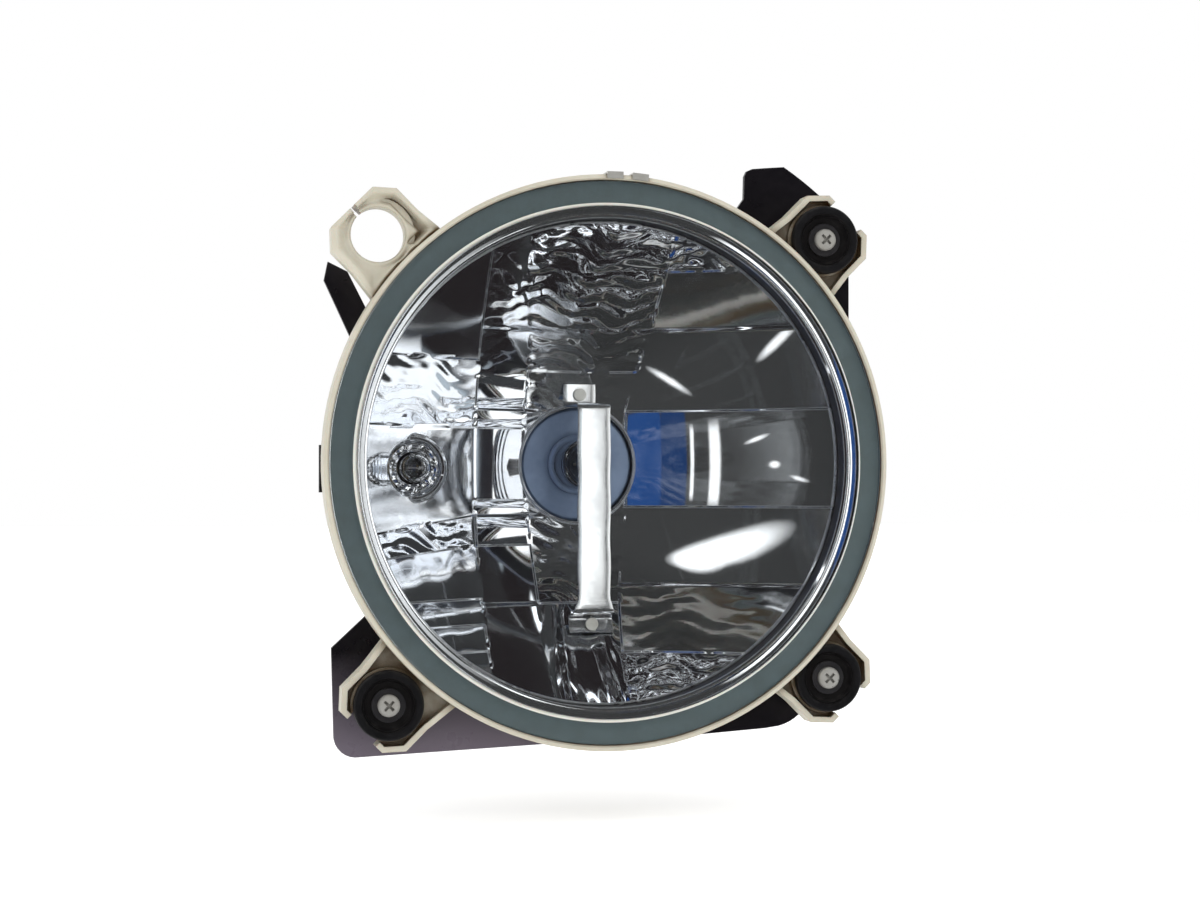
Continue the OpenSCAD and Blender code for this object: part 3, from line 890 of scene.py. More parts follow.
# ---- Lens -----------------------------------------------------------------------------------
@dataclass
class Lens:
    """The clear domed lens with its glued flange."""

    dome_r: float = 80.8
    rise: float = 11.0
    edge_depth: float = -2.4
    flange_depth: float = 0.6
    flange_r: float = 88.9
    flange_t: float = 2.7
    thickness: float = 3.0
    corner: float = 0.9
    foot_corner: float = 0.5
    rim_corner: float = 0.4
    shoulder_run: float = 2.5
    dome_steps: int = 34
    # Wire radius of the pale ring that paints a highlight round the dome.
    bead_r: float = 0.6

    def dome(self, radius: float) -> float:
        """Depth of the dome's front at a radius."""
        ball = (self.dome_r**2 + self.rise**2) / (2 * self.rise)
        return self.edge_depth - self.rise + ball - math.sqrt(ball * ball - radius * radius)

    def build(self, shop: Paintshop) -> None:
        """Makes the lens, and a pale ring round its dome that is a painted highlight along the lens's
        shoulder.

        Args:
            shop: Where the pieces get their finishes.
        """
        radii = np.linspace(0, self.dome_r - self.shoulder_run, self.dome_steps)
        front = [(r, self.dome(r)) for r in radii]
        wall = (self.dome_r, self.flange_depth)
        shoulder = fillet(front[-1], (self.dome_r, self.edge_depth), wall, self.corner)
        edge = (self.flange_r, self.flange_depth)
        foot = fillet(shoulder[-1], wall, edge, self.foot_corner)
        back_depth = self.flange_depth + self.flange_t
        rim = fillet(foot[-1], edge, (self.flange_r, back_depth), self.rim_corner)
        inner_r = self.dome_r - self.thickness
        flange_back = [(self.flange_r, back_depth), (inner_r + 0.1, back_depth)]
        back = [(r, self.dome(r) + self.thickness) for r in np.linspace(inner_r, 0, self.dome_steps)]
        dome = lathe([*front, *shoulder, *foot, *rim, *flange_back, *back])
        shop.make("lens_dome", dome, 50.0, Slot.CLEAR_LENS, "lens")
        # Pale nylon ring round the dome: a painted highlight along the lens's shoulder.
        bead = wire(self.dome_r + self.bead_r, self.flange_depth, self.bead_r, 10)
        shop.make("lens_highlight_ring", lathe(bead), 50.0, Slot.NYLON)


# ---- Reflector ------------------------------------------------------------------------------
class Texture(Enum):
    """What the surface of a reflector facet is like."""

    SMOOTH = "smooth"
    RIPPLED = "rippled"
    RIBBED = "ribbed"
    LOUVRED = "louvred"


@dataclass(frozen=True)
class Facet:
    """One facet: its place in the grid of columns and rows, and how it departs from the bowl."""

    low: float
    high: float
    tilt_x: float = 0.0
    bulge_x: float = 0.0
    bulge_z: float = 0.0
    step: float = 0.0
    texture: Texture = Texture.SMOOTH
    depth: float = 0.12


@dataclass
class Reflector:
    """The aluminised bowl with its columns of facets and bulb seats, and a black skirt in front of it that
    is painted shade.
    """

    mouth_r: float = 79.0
    mouth_depth: float = 9.0
    edge_r: float = 77.0
    focal: float = 31.0
    hole_r: float = 19.3
    seat_depth: float = 64.0
    seat_front: Profile = ((-0.05, -0.5), (0.6, -0.7), (2.4, 0.9))
    seat_t: float = 2.6
    lamp_at: Flat = (-59.4, -1.7)
    lamp_r: float = 9.3
    collar: Profile = (
        (-0.6, -1.0),
        (-0.1, -1.7),
        (0.8, -1.9),
        (1.6, -1.3),
        (2.0, 0.6),
        (0.9, 3.2),
        (-0.4, 3.2),
        (-0.4, 0.3),
    )
    plate_front: Profile = ((5.3, 30.2), (6.0, 29.9), (6.8, 30.0), (7.6, 29.8), (8.3, 30.1), (8.8, 30.6))
    plate_back: float = 31.2
    flute_depth: float = 0.13
    bead_r: float = 0.45
    mouth_ring: Profile = ((77.3, 4.6), (80.3, 3.8), (80.3, 4.6), (77.9, 5.2), (77.3, 5.2))
    # Black sheet that paints the shade in the gap between the reflector's edge and the lens.
    shadow_skirt: Profile = ((77.3, 5.2), (78.0, 5.2), (78.0, 12.0), (77.3, 12.0))
    round_steps: int = 160
    flute_steps: int = 120
    sheet_t: float = 1.5
    pitch: float = 0.85
    riser: float = 0.28
    column_lines: tuple[float, ...] = (-36.5, -18.5, 16.2)
    left_lean: Profile = ((-79, 2.5), (-39, 2), (0, 0), (38, 0.2), (62, -3.8), (79, -6))
    right_lean: Profile = ((-79, -9), (-45, -5), (-18, 0), (18, 0), (45, 5.3), (79, 8))
    lean_reach: Flat = (8.0, 15.0)
    slant: float = 6.4
    slant_run: float = 41.5
    slant_height: float = -19.0
    slant_reach: float = 12.0
    outer: float = 81.0
    columns: tuple[tuple[Facet, ...], ...] = (
        (
            Facet(-81, -68, step=0.3, texture=Texture.LOUVRED),
            Facet(-68, -60, step=0.1, texture=Texture.LOUVRED),
            Facet(-60, -52, step=0.3, texture=Texture.LOUVRED),
            Facet(-52, -44, step=0.1, texture=Texture.LOUVRED),
            Facet(-44, -27, step=0.3, texture=Texture.LOUVRED),
            Facet(-27, -17, tilt_x=3.0, step=-0.2, texture=Texture.RIPPLED, depth=0.1),
            Facet(-17, 12, tilt_x=-1.0, bulge_x=0.4, step=0.3),
            Facet(12, 34, tilt_x=1.0, bulge_z=0.3, step=-0.1, texture=Texture.RIPPLED, depth=0.06),
            Facet(34, 81, tilt_x=-2.2, bulge_x=0.1, step=0.2),
        ),
        (
            Facet(-81, -46, step=-0.1, bulge_x=0.2),
            Facet(-46, -27, step=0.3, bulge_x=0.2),
            Facet(-27, -17, bulge_z=0.5, step=-0.2),
            Facet(-17, -12, bulge_z=0.35, step=0.2),
            Facet(-12, 12, bulge_x=0.5, step=-0.2),
            Facet(12, 18, bulge_z=0.35, step=0.2),
            Facet(18, 29, bulge_z=0.5, step=-0.1),
            Facet(29, 44.3, bulge_x=0.3, step=0.2, texture=Texture.RIPPLED, depth=0.02),
            Facet(44.3, 81, bulge_x=0.3, texture=Texture.RIPPLED, depth=0.08),
        ),
        (
            Facet(-81, -46, step=0.2, texture=Texture.RIBBED, depth=0.2),
            Facet(-46, -17, step=-0.3, texture=Texture.RIPPLED, depth=0.07),
            Facet(-17, 18, step=0.0),
            Facet(18, 31, step=-0.2, texture=Texture.RIPPLED, depth=0.07),
            Facet(31, 44.3, step=0.15, texture=Texture.RIPPLED, depth=0.15),
            Facet(44.3, 81, step=-0.1, texture=Texture.RIPPLED, depth=0.2),
        ),
        (
            Facet(-81, -61.5, step=0.3, bulge_z=0.2, texture=Texture.RIPPLED, depth=0.13),
            Facet(-61.5, -40, step=-0.2, bulge_z=0.5, texture=Texture.RIPPLED, depth=0.012),
            Facet(-40, -14.3, step=0.3, bulge_z=0.6, bulge_x=0.3),
            Facet(-14.3, 18, step=-0.3, bulge_x=0.8),
            Facet(18, 44.3, step=0.3, bulge_z=0.4, bulge_x=0.3),
            Facet(44.3, 62.5, step=-0.2, bulge_z=0.4),
            Facet(62.5, 81, step=0.2, texture=Texture.RIPPLED, depth=0.1),
        ),
    )

    def bowl(self, radius: float | np.ndarray) -> float | np.ndarray:
        """Depth of the mean paraboloid at a radius."""
        return self.mouth_depth + (self.mouth_r**2 - radius**2) / (4 * self.focal)

    def lines(self, edges: set[float]) -> np.ndarray:
        """Spaces the grid's lines at the pitch, with a close pair at each facet edge.

        Args:
            edges: Where the facets meet.

        Returns:
            The lines' places, in order.
        """
        lows = sorted(edges | {-self.outer, self.outer})
        found: list[float] = [-self.outer]
        for a, b in zip(lows, lows[1:]):
            start, end = a + self.riser, b - self.riser
            count = max(2, math.ceil((end - start) / self.pitch) + 1)
            found.extend(np.linspace(start, end, count))
        return np.array([*found, self.outer])

    def warp(self, u: np.ndarray, v: np.ndarray) -> tuple[np.ndarray, np.ndarray]:
        """Leans the straight facet lines the way the real ones lean.

        Args:
            u: Place of each grid point across.
            v: Its place up.

        Returns:
            The places across and up after leaning.
        """
        outer_line, left_line, right_line = self.column_lines
        x = u
        lines = zip((left_line, right_line), (self.left_lean, self.right_lean), self.lean_reach)
        for line, lean, reach in lines:
            x = x + np.interp(v, *zip(*lean)) * np.exp(-(((u - line) / reach) ** 2))
        outer_left = np.clip(outer_line - u, 0, None) / self.slant_run
        near = np.exp(-(((v - self.slant_height) / self.slant_reach) ** 2))
        return x, v - self.slant * outer_left * near

    def relief(self, u: np.ndarray, v: np.ndarray, x: np.ndarray, z: np.ndarray) -> np.ndarray:
        """How far each grid point stands behind the mean bowl.

        Args:
            u: Place of each grid point across, before leaning.
            v: Its place up, before leaning.
            x: Its place across.
            z: Its place up.

        Returns:
            The depths past the bowl.
        """
        offset = np.zeros_like(u)
        edges = (-self.outer, *self.column_lines, self.outer)
        for left, right, facets in zip(edges, edges[1:], self.columns):
            for facet in facets:
                inside = (u > left) & (u < right) & (v > facet.low) & (v < facet.high)
                across = (2 * u - left - right) / (right - left)
                up = (2 * v - facet.low - facet.high) / (facet.high - facet.low)
                height = facet.step - facet.bulge_x * (1 - across**2) - facet.bulge_z * (1 - up**2)
                height += math.tan(math.radians(facet.tilt_x)) * (u - (left + right) / 2)
                height += self.pattern(facet, x, z, up)
                offset[inside] = height[inside]
        return offset

    @staticmethod
    def pattern(facet: Facet, x: np.ndarray, z: np.ndarray, up: np.ndarray) -> np.ndarray:
        """The texture of a facet, as a sum of waves whose numbers are in radians per millimetre.

        Args:
            facet: The facet.
            x: Place of each point across.
            z: Its place up.
            up: Its height in the facet, from -1 to 1.

        Returns:
            The height over each point.
        """
        if facet.texture is Texture.RIPPLED:
            bend = z + 1.8 * np.sin(x * 0.13 + 0.7) + 1.2 * np.sin(x * 0.29 - z * 0.17)
            bend = bend + 0.4 * np.sin(x * 0.9 + z)
            swell = 0.7 + 0.4 * np.sin(x * 0.23 + z * 0.5 + 1.0) * np.sin(z * 0.37 - x * 0.13)
            wave = swell * (np.sin(bend * 1.25) + 0.5 * np.sin(bend * 2.3 + x * 0.4))
            return facet.depth * (wave + 0.35 * np.sin(x * 0.8 + z * 0.9 + 1.7 * np.sin(x * 0.25)))
        if facet.texture is Texture.RIBBED:
            turn = np.arctan2(x, -z)
            fine = 0.6 * np.sin(turn * 57 + 1.0 + 0.1 * z)
            return facet.depth * (np.sin(turn * 34 + 0.06 * z) + fine + 0.4 * np.sin(z * 0.5))
        if facet.texture is Texture.LOUVRED:
            return 0.5 * up + 0.03 * np.sin(x * 0.5) + 0.12 * up * up
        return np.zeros_like(x)

    def build(self, shop: Paintshop) -> None:
        """Makes the reflector, and in front of it a black skirt that paints shade into the gap to the lens.

        Args:
            shop: Where the pieces get their finishes.
        """
        rows = {edge for facets in self.columns for f in facets for edge in (f.low, f.high)}
        us, vs = self.lines(set(self.column_lines)), self.lines(rows)
        u, v = np.meshgrid(us, vs)
        x, z = self.warp(u, v)
        depth = self.bowl(np.hypot(x, z)) + self.relief(u, v, x, z)
        front, back = (
            [at(*p) for p in zip(x.ravel(), depth.ravel() + behind, z.ravel())]
            for behind in (0.0, self.sheet_t)
        )
        piece = object_of("facet_reflector", *slab(front, back, len(us)))
        outward(piece)
        tools = [
            (self.plug(self.edge_r, (0.0, 0.0)), "INTERSECT"),
            (self.plug(self.hole_r, (0.0, 0.0)), "DIFFERENCE"),
            (self.plug(self.lamp_r, self.lamp_at), "DIFFERENCE"),
        ]
        cut(piece, tools)
        for ring, centre in self.rings():
            with_rest(piece, lathe(ring, self.round_steps, centre))
        with_rest(piece, self.fluted_plate())
        outward(piece, 22.0)
        shop.dress(piece, Slot.REFLECTOR_METAL, "reflector")
        # Black skirt in front of the reflector: a sheet of painted shade over the gap to the lens.
        shop.make("reflector_shadow_skirt", lathe(self.shadow_skirt), 40.0, Slot.BLACK_PLASTIC)

    def fluted_plate(self) -> Shell:
        """Makes the bright fluted plate that stands round the position lamp's bulb.

        Returns:
            Its vertices and faces.
        """
        back = [(self.plate_front[-1][0], self.plate_back), (self.plate_front[0][0], self.plate_back)]
        vertices, faces = lathe([*self.plate_front, *back], self.flute_steps, self.lamp_at)
        for i in range(len(self.plate_front) * self.flute_steps):
            ring, step = divmod(i, self.flute_steps)
            turn = 2 * math.pi * step / self.flute_steps
            wave = math.sin(turn * 15 + 1.3 * ring) + 0.6 * math.sin(turn * 7 + 2.0 * ring)
            x, y, z = vertices[i]
            vertices[i] = (x, y + self.flute_depth * MM * wave, z)
        return vertices, faces

    def plug(self, radius: float, centre: Flat) -> bpy.types.Object:
        """Makes a long cylinder along the lamp, to cut with.

        Args:
            radius: Its radius.
            centre: Where its axis stands, across and up.

        Returns:
            The cylinder.
        """
        profile = [(0, -30), (radius, -30), (radius, 110), (0, 110)]
        piece = object_of("plug", *lathe(profile, self.round_steps, centre, closed=False))
        outward(piece)
        return piece

    def rings(self) -> list[tuple[Profile, Flat]]:
        """Works out the collars round the two bulbs, the bead along the edge and the ring at the mouth.

        Returns:
            The profile of each and where its axis stands.
        """
        lamp_depth = float(self.bowl(math.hypot(*self.lamp_at)))
        hole_depth = float(self.bowl(self.hole_r))
        seat = [(self.hole_r + out, hole_depth + back) for out, back in self.seat_front]
        seat += [(self.hole_r + self.seat_t, self.seat_depth), (self.hole_r, self.seat_depth)]
        collar = [(self.lamp_r + out, lamp_depth + back) for out, back in self.collar]
        bead = wire(self.edge_r - 0.2, float(self.bowl(self.edge_r)) - 0.1, self.bead_r, 12)
        middle = (0.0, 0.0)
        return [(seat, middle), (collar, self.lamp_at), (bead, middle), (self.mouth_ring, middle)]


# ---- Glare shield ---------------------------------------------------------------------------
@dataclass
class GlareShield:
    """The bright strap in front of the bulb, folded at both ends."""

    width: float = 11.0
    foot_width: float = 14.5
    thickness: float = 0.8
    crown: float = 0.06
    bend: float = 1.6
    turn: float = 2.2
    flare_from: float = -44.0
    flare_run: float = 6.0
    thinned: float = 0.3
    pitch: float = 1.5
    across: int = 13
    waver: Flat = (0.12, 0.21)
    width_waver: Flat = (0.25, 0.33)
    path: tuple[Flat, ...] = (
        (52.8, 27),
        (52.8, 19.4),
        (29.4, 19.4),
        (29.4, -48.6),
        (36.4, -50.1),
        (33.4, -55.4),
    )

    def centre_line(self) -> np.ndarray:
        """Follows the strap's path, with rounded folds and a slight waver.

        Returns:
            Depth and height of each point along the strap.
        """
        points: list[Flat] = [self.path[0]]
        for a, corner, b in zip(self.path, self.path[1:], self.path[2:]):
            points += fillet(a, corner, b, self.bend)
        points.append(self.path[-1])
        fine: list[np.ndarray] = []
        for a, b in zip(points, points[1:]):
            a, b = np.array(a, float), np.array(b, float)
            steps = max(1, round(float(np.linalg.norm(b - a)) / self.pitch))
            fine += [a + (b - a) * i / steps for i in range(steps)]
        fine.append(np.array(points[-1], float))
        line = np.array(fine)
        front = line[:, 0] < self.path[2][0] + 0.3
        line[front, 0] += self.waver[0] * np.sin(line[front, 1] * self.waver[1])
        return line

    def half_width(self, height: float) -> float:
        """Works out half the strap's width, with its flared foot and slight waver.

        Args:
            height: Height along the strap.

        Returns:
            Half the width there.
        """
        flare = max(0.0, min(1.0, (self.flare_from - height) / self.flare_run))
        swell = self.width_waver[0] * math.sin(height * self.width_waver[1])
        return (self.width + (self.foot_width - self.width) * flare + swell) / 2

    def build(self, shop: Paintshop) -> None:
        """Makes the strap.

        Args:
            shop: Where it gets its finish.
        """
        line = self.centre_line()
        run = np.gradient(line, axis=0)
        side = np.stack([run[:, 1], -run[:, 0]], 1)
        side /= np.linalg.norm(side, axis=1)[:, None]
        offsets = np.linspace(-1, 1, self.across)
        loop = [(offset, 1) for offset in offsets] + [(offset, -1) for offset in reversed(offsets)]
        lean = math.tan(math.radians(self.turn))
        vertices: list[Point] = []
        for (depth, height), (out, up) in zip(line, side):
            half = self.half_width(height)
            for offset, face in loop:
                thick = self.thickness / 2 * face * (1 - self.thinned * abs(offset) ** 12)
                lift = thick + self.crown * (1 - offset**2) - half * offset * lean
                vertices.append(at(half * offset, depth + out * lift, height + up * lift))
        ring, last = len(loop), len(line) - 1
        faces = [
            [i * ring + k, i * ring + (k + 1) % ring, (i + 1) * ring + (k + 1) % ring, (i + 1) * ring + k]
            for i in range(last)
            for k in range(ring)
        ]
        faces += [list(range(ring)), [last * ring + k for k in reversed(range(ring))]]
        shop.make("shield_strap", (vertices, faces), 40.0, Slot.BRIGHT_STEEL, "glare_shield")


# ---- Empty ear ------------------------------------------------------------------------------
@dataclass
class EarWeb:
    """The smoothly moulded face of the empty ear, from its hole out to its wall."""

    turn: float = 135.0
    slit: float = 1.6
    rim_r: float = 91.0
    rim_overlap: float = 0.3
    outline: tuple[Flat, ...] = ((-20.0, 16.25), (-3.0, 14.15), (6.25, 14.15), (11.75, 9.0), (11.75, 0.0))
    hole_d: float = 6.7
    wall_d: float = 3.7
    back_d: float = 8.8
    flat_inner: float = 1.6
    flat_outer: float = 1.2
    hole_round: Flat = (0.9, 0.9)
    edge_round: Flat = (1.2, 2.2)
    groove: Flat = (-38.0, -150.0)
    groove_d: float = 4.2
    groove_w: float = 1.1
    groove_share: float = 0.85
    least_t: float = 0.3
    hole_gap: float = 0.03
    steps: int = 144
    across: int = 18

    def reach(self, angle: float, centre: np.ndarray) -> float:
        """How far the ear's face goes from its hole's centre.

        Args:
            angle: Direction in the ear's own frame, in radians.
            centre: Centre of the hole, across and up.

        Returns:
            The distance to the ear's outline or to the rim, in mm.
        """
        ray = np.array([math.cos(angle), abs(math.sin(angle))])
        found = [30.0]
        for start, end in zip(self.outline, self.outline[1:]):
            run = np.subtract(end, start)
            cross = ray[0] * run[1] - ray[1] * run[0]
            if abs(cross) > 1e-9:
                far = (start[0] * run[1] - start[1] * run[0]) / cross
                share = (start[0] * ray[1] - start[1] * ray[0]) / cross
                if far > 0 and -1e-6 <= share <= 1 + 1e-6:
                    found.append(far)
        world = math.radians(self.turn) + angle
        ray = np.array([math.cos(world), math.sin(world)])
        b, c = float(centre @ ray), float(centre @ centre) - self.rim_r**2
        if b < 0 and b * b > c:
            found.append(-b - math.sqrt(b * b - c) + self.rim_overlap)
        return min(found)

    def depth(self, angle: float, inner: float, outer: float) -> float:
        """How deep the ear's face lies behind the rim's front.

        Args:
            angle: Direction in the ear's own frame, in radians.
            inner: Distance from the hole's edge, in mm.
            outer: Distance from the ear's edge, in mm.

        Returns:
            The depth in mm.
        """
        slope = max(0.5, inner + outer - self.flat_inner - self.flat_outer)
        share = max(0.0, min(1.0, (inner - self.flat_inner) / slope))
        depth = self.hole_d + (self.wall_d - self.hole_d) * share * share * (3 - 2 * share)
        for distance, (drop, width) in ((inner, self.hole_round), (outer, self.edge_round)):
            depth += drop * max(0.0, 1 - distance / width) ** 2
        degrees = (math.degrees(angle) + 180) % 360 - 180
        start, end = self.groove
        if end < degrees < start:
            along = (start - degrees) / (start - end)
            middle = (inner - outer) / 2
            across = math.exp(-((middle / self.groove_w) ** 2))
            depth += self.groove_d * math.sin(math.pi * along * self.groove_share) * across
        return min(depth, self.back_d - self.least_t)

    def build(self, shop: Paintshop) -> None:
        """Makes the ear's face.

        Args:
            shop: Where it gets its finish.
        """
        mount = next(m for m in frame["record"]["mounts"] if m["name"] == "spare_ear")
        centre = np.array([mount["pos_m"][0], mount["pos_m"][2]]) / MM
        hole_r = mount["dims"]["r_mm"] + self.hole_gap
        gap = math.asin(self.slit / 2 / hole_r)
        front: list[Point] = []
        back: list[Point] = []
        for angle in np.linspace(gap, 2 * math.pi - gap, self.steps + 1):
            far = self.reach(float(angle), centre)
            world = math.radians(self.turn) + angle
            for radius in np.linspace(hole_r, far, self.across + 1):
                x, z = centre + radius * np.array([math.cos(world), math.sin(world)])
                front.append(at(x, self.depth(float(angle), radius - hole_r, far - radius), z))
                back.append(at(x, self.back_d, z))
        shop.make("spare_ear_face", slab(front, back, self.across + 1), 60.0, Slot.CREAM_PLASTIC)


# ---- Studio ---------------------------------------------------------------------------------
@dataclass(frozen=True)
class Card:
    """A glowing studio card that only shows by way of the bright metal behind the lens.

    Angles are in degrees. Its outline goes from an ellipse to a box as square grows from 2, and it
    fades out over the outer share that fade gives.
    """

    name: str
    azimuth: float
    elevation: float
    wide: float
    high: float
    power: float = 1.7
    colour: Colour = (1.0, 1.0, 1.0)
    turn: float = 0.0
    fade: float = 0.35
    square: float = 2.0
    distance: float = 0.9


@dataclass
class Studio:
    """Floor, light, cards and camera.

    What gloss sees is front_level, changed by steep, behind and zenith. Each of those gives a level
    and the two values of the way's height or depth between which it sets in. Within camera_spread,
    in degrees from the camera, gloss sees camera_level. Cards show after more than the given bounces.
    """

    azimuth: float = -12.86
    elevation: float = -0.78
    distance: float = 0.69585
    lens_mm: float = 66.25
    shift: Flat = (-0.0113, 0.0102)
    floor_gap: float = 0.02
    floor_reach: float = 6.0
    front_level: float = 0.058
    steep: tuple[float, float, float] = (0.035, 0.7, 0.9)
    behind: tuple[float, float, float] = (0.75, -0.1, 0.5)
    zenith: tuple[float, float, float] = (1.1, 0.972, 0.99)
    camera_level: Colour = (0.022, 0.017, 0.018)
    camera_spread: Flat = (18.5, 13.0)
    room_level: Flat = (0.85, 1.15)
    bounces: float = 3.5
    cards: tuple[Card, ...] = (
        Card("card_tall_right", 56, 2, 21, 84, fade=0.2, square=8.0),
        Card("card_middle", 14.5, 0.0, 10, 21, 2.0, fade=0.2, square=6.0),
        Card("card_low_middle", 9.5, -10.5, 12, 11),
        Card("card_ring", 35, 0, 20, 50, 1.3, fade=0.5, square=4.0),
        Card("card_soft_middle", 7, -0.5, 8.5, 11, 0.85, (0.86, 0.94, 1.0), square=4.0),
        Card("card_blue_near", -30.5, 0, 16, 56, 0.28, (0.075, 0.29, 1.0), fade=0.04, square=12.0),
        Card("card_blue_far", -43, 0, 9.4, 56, 0.17, (0.1, 0.31, 1.0), fade=0.04, square=12.0),
        Card("card_line", -49.5, 0, 1.3, 38, 1.5, fade=0.2, square=12.0),
        Card("card_left", -56.5, 1, 3.6, 42, 1.6, fade=0.3, square=8.0),
        Card("card_high_left", -61, 36.5, 38, 6, 2.4, turn=35, fade=0.5),
        Card("card_high_near", -53, 41.5, 18, 5, 2.4, turn=24, fade=0.6),
        Card("card_low_left", -41.5, -42.5, 22, 2.2, 1.8, turn=-42, fade=0.7),
        Card("card_low_far", -76, -38, 9, 2.8, 1.9, turn=25, fade=0.6),
        Card("glint_upper", -67, -9, 7, 2.0, 1.8, turn=30, fade=0.7),
        Card("glint_middle", -70.5, 1, 2.6, 3.4, 1.8, fade=0.6),
        Card("glint_lower", -75, 6, 4, 1.6, 1.8, turn=-35, fade=0.7),
        Card("tube_low", -10, -6.5, 14, 0.9, 3.6, fade=0.5),
        Card("tube_high", -14, 6, 16, 0.9, 3.6, fade=0.5),
        Card("tube_side", -3.5, 9.5, 8, 1.0, 3.2, turn=20, fade=0.5),
        Card("tube_upright", -17, -1, 1.0, 20, 3.2, fade=0.5),
    )

    @staticmethod
    def towards(azimuth: float, elevation: float) -> Vector:
        """The direction from the lamp to something at an azimuth and elevation, in degrees."""
        a, e = math.radians(azimuth), math.radians(elevation)
        return Vector((math.sin(a) * math.cos(e), -math.cos(a) * math.cos(e), math.sin(e)))

    def build(self) -> None:
        """Makes the whole studio."""
        self.build_camera()
        self.build_world()
        self.build_floor()
        for card in self.cards:
            self.build_card(card)
        scene = bpy.context.scene
        scene.view_settings.view_transform = "Standard"
        scene.view_settings.look = "None"

    def build_camera(self) -> None:
        """Sets the camera in front of the lamp."""
        data = bpy.data.cameras.new("camera")
        data.sensor_width = 36.0
        data.lens = self.lens_mm
        data.shift_x, data.shift_y = self.shift
        data.clip_start = 0.01
        camera = bpy.data.objects.new("camera", data)
        bpy.context.scene.collection.objects.link(camera)
        back = self.towards(self.azimuth, self.elevation)
        camera.location = Vector((0, FRONT_Y, 0)) + back * self.distance
        camera.rotation_mode = "QUATERNION"
        camera.rotation_quaternion = (-back).to_track_quat("-Z", "Y")
        bpy.context.scene.camera = camera

    def gloss_light(self, tree: Tree) -> Socket:
        """Works out what gloss and glass see of the room: dark ahead, darkest round the camera.

        Args:
            tree: The world's tree.

        Returns:
            The colour's socket.
        """
        towards = place_in(tree, "Generated")
        way = put(tree, "ShaderNodeSeparateXYZ", {0: towards})
        height = maths(tree, "ABSOLUTE", way.outputs["Z"])
        behind = ranged(tree, way.outputs["Y"], 0.0, *self.behind)
        steep = ranged(tree, height, self.front_level, *self.steep)
        zenith = ranged(tree, height, 0.0, *self.zenith)
        level = maths(tree, "ADD", maths(tree, "ADD", steep, behind), zenith)
        ahead = put(tree, "ShaderNodeCombineColor", {0: level, 1: level, 2: level}).outputs[0]
        facing = dot(tree, towards, tuple(self.towards(self.azimuth, self.elevation)))
        outer, inner = (math.cos(math.radians(angle)) for angle in self.camera_spread)
        return mixed(tree, ranged(tree, facing, 0.0, 1.0, outer, inner), ahead, self.camera_level)

    def build_world(self) -> None:
        """Lights the scene from all round.

        Gloss and glass see the dark front, unless the light has already bounced off something dull.
        """
        world = bpy.data.worlds.new("studio")
        bpy.context.scene.world = world
        world.use_nodes = True
        tree = world.node_tree
        tree.nodes.clear()
        end = tree.nodes.new("ShaderNodeOutputWorld")
        up = put(tree, "ShaderNodeSeparateXYZ", {0: place_in(tree, "Generated")}).outputs["Z"]
        level = ranged(tree, up, *self.room_level, -1.0, 1.0)
        path = put(tree, "ShaderNodeLightPath").outputs
        sharp = maths(tree, "MAXIMUM", path["Is Glossy Ray"], path["Is Transmission Ray"])
        seen = maths(tree, "MULTIPLY", sharp, maths(tree, "LESS_THAN", path["Diffuse Depth"], 0.5))
        shiny, plain, direct = (
            put(tree, "ShaderNodeBackground", {"Color": colour, "Strength": strength})
            for colour, strength in ((self.gloss_light(tree), 1.0), (WHITE, level), (WHITE, 1.0))
        )
        last = blend(tree, path["Is Camera Ray"], blend(tree, seen, plain, shiny), direct)
        tree.links.new(last.outputs[0], end.inputs[0])

    def build_floor(self) -> None:
        """Lays a pale floor under the lamp."""
        lowest, reach = CAD_BOX[0].z - self.floor_gap, self.floor_reach
        corners = [(x * reach, y * reach, lowest) for x, y in SQUARE]
        floor = object_of("floor", corners, [[0, 1, 2, 3]])
        material, tree, end = new_material("Pale floor")
        patches = EFFECTS.use(tree, Effect.MOTTLE, {"Scale": 3.0, "Contrast": 0.3})
        surface = {
            "Base Color": mixed(tree, patches, (0.93, 0.93, 0.93), (0.9, 0.9, 0.9)),
            "Roughness": 0.9,
            "Specular IOR Level": 0.1,
            "Emission Color": WHITE,
            "Emission Strength": 0.35,
        }
        principled(tree, end, surface)
        floor.data.materials.append(material)
        floor.visible_glossy = floor.visible_transmission = False

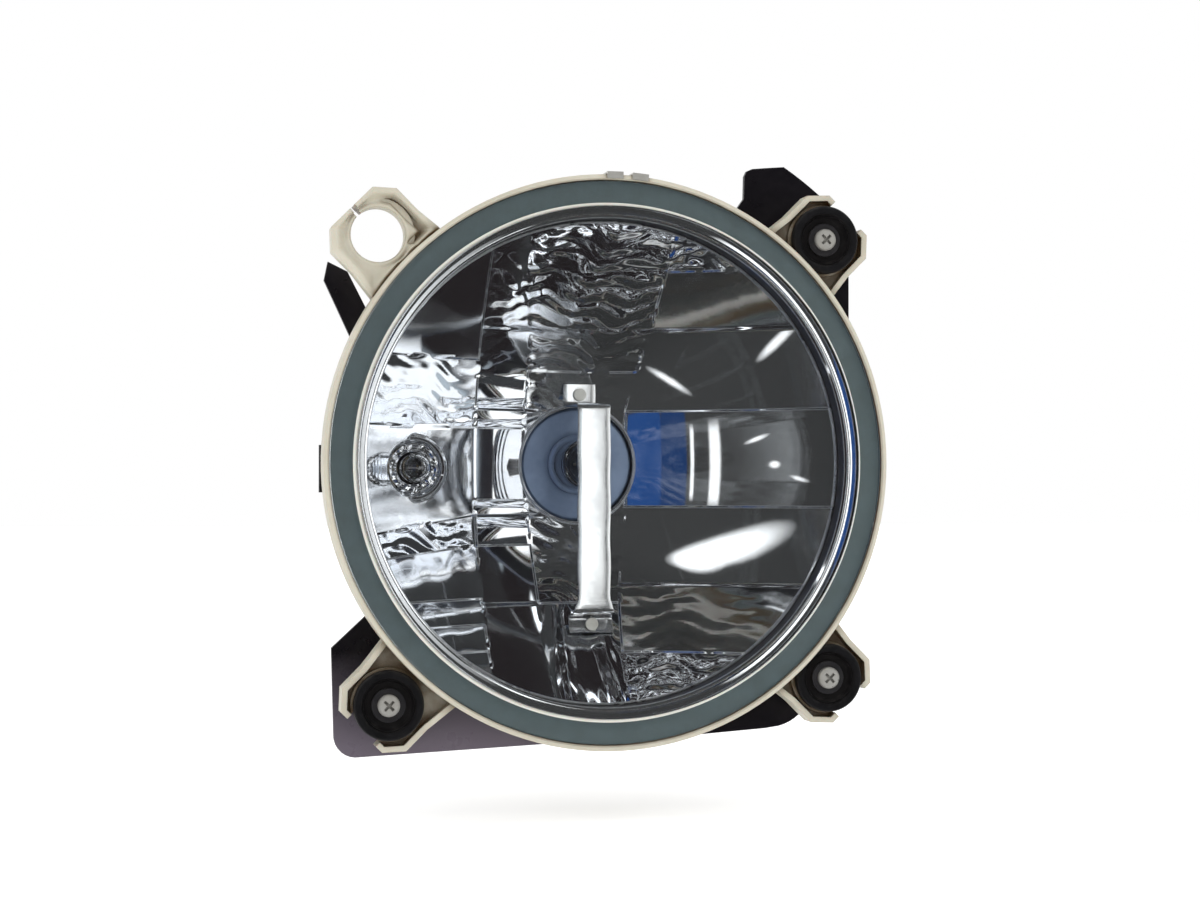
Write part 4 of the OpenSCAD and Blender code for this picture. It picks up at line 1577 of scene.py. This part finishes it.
    def card_material(self, card: Card) -> Material:
        """Makes the glow of a card, which fades towards its edges.

        Args:
            card: The card.

        Returns:
            The material.
        """
        material, tree, end = new_material(card.name)
        patches = EFFECTS.use(tree, Effect.MOTTLE, {"Scale": 4.0, "Contrast": 0.5})
        power = ranged(tree, patches, card.power * 0.9, card.power * 1.1)
        glow = put(tree, "ShaderNodeEmission", {"Color": (*card.colour, 1.0), "Strength": power})
        place = put(tree, "ShaderNodeSeparateXYZ", {0: place_in(tree, "Generated")})
        spans = (maths(tree, "ABSOLUTE", ranged(tree, place.outputs[axis], -1.0, 1.0)) for axis in "XY")
        across, up = (maths(tree, "POWER", span, card.square) for span in spans)
        reach = maths(tree, "POWER", maths(tree, "ADD", across, up), 1.0 / card.square)
        inside = ranged(tree, reach, 0.0, 1.0, 1.0, 1.0 - card.fade)
        depth = put(tree, "ShaderNodeLightPath").outputs["Ray Depth"]
        inside = maths(tree, "MULTIPLY", inside, maths(tree, "GREATER_THAN", depth, self.bounces))
        clear = put(tree, "ShaderNodeBsdfTransparent")
        tree.links.new(blend(tree, inside, clear, glow).outputs[0], end.inputs[0])
        return material

    def build_card(self, card: Card) -> None:
        """Hangs one card, facing the lamp.

        Args:
            card: The card.
        """
        w, h = (card.distance * math.tan(math.radians(span / 2)) for span in (card.wide, card.high))
        piece = object_of(card.name, [(x * w, y * h, 0) for x, y in SQUARE], [[0, 1, 2, 3]])
        back = self.towards(card.azimuth, card.elevation)
        place = Matrix.Translation(Vector((0, FRONT_Y, 0)) + back * card.distance)
        facing = back.to_track_quat("Z", "Y").to_matrix().to_4x4()
        piece.matrix_world = place @ facing @ Matrix.Rotation(math.radians(card.turn), 4, "Z")
        piece.data.materials.append(self.card_material(card))
        piece.visible_camera = piece.visible_diffuse = piece.visible_shadow = False


def build_parts() -> list[Callable[[Paintshop], None]]:
    """The new pieces' builders, in order."""
    return [Lens().build, Reflector().build, GlareShield().build, EarWeb().build]


def main() -> None:
    """Dresses the CAD nodes, builds the new pieces and sets up the studio."""
    logging.basicConfig(level=logging.INFO, format="%(message)s")
    shop = Paintshop()
    shop.dress_nodes()
    for build in build_parts():
        build(shop)
    Studio().build()


if __name__ == "__main__":
    main()
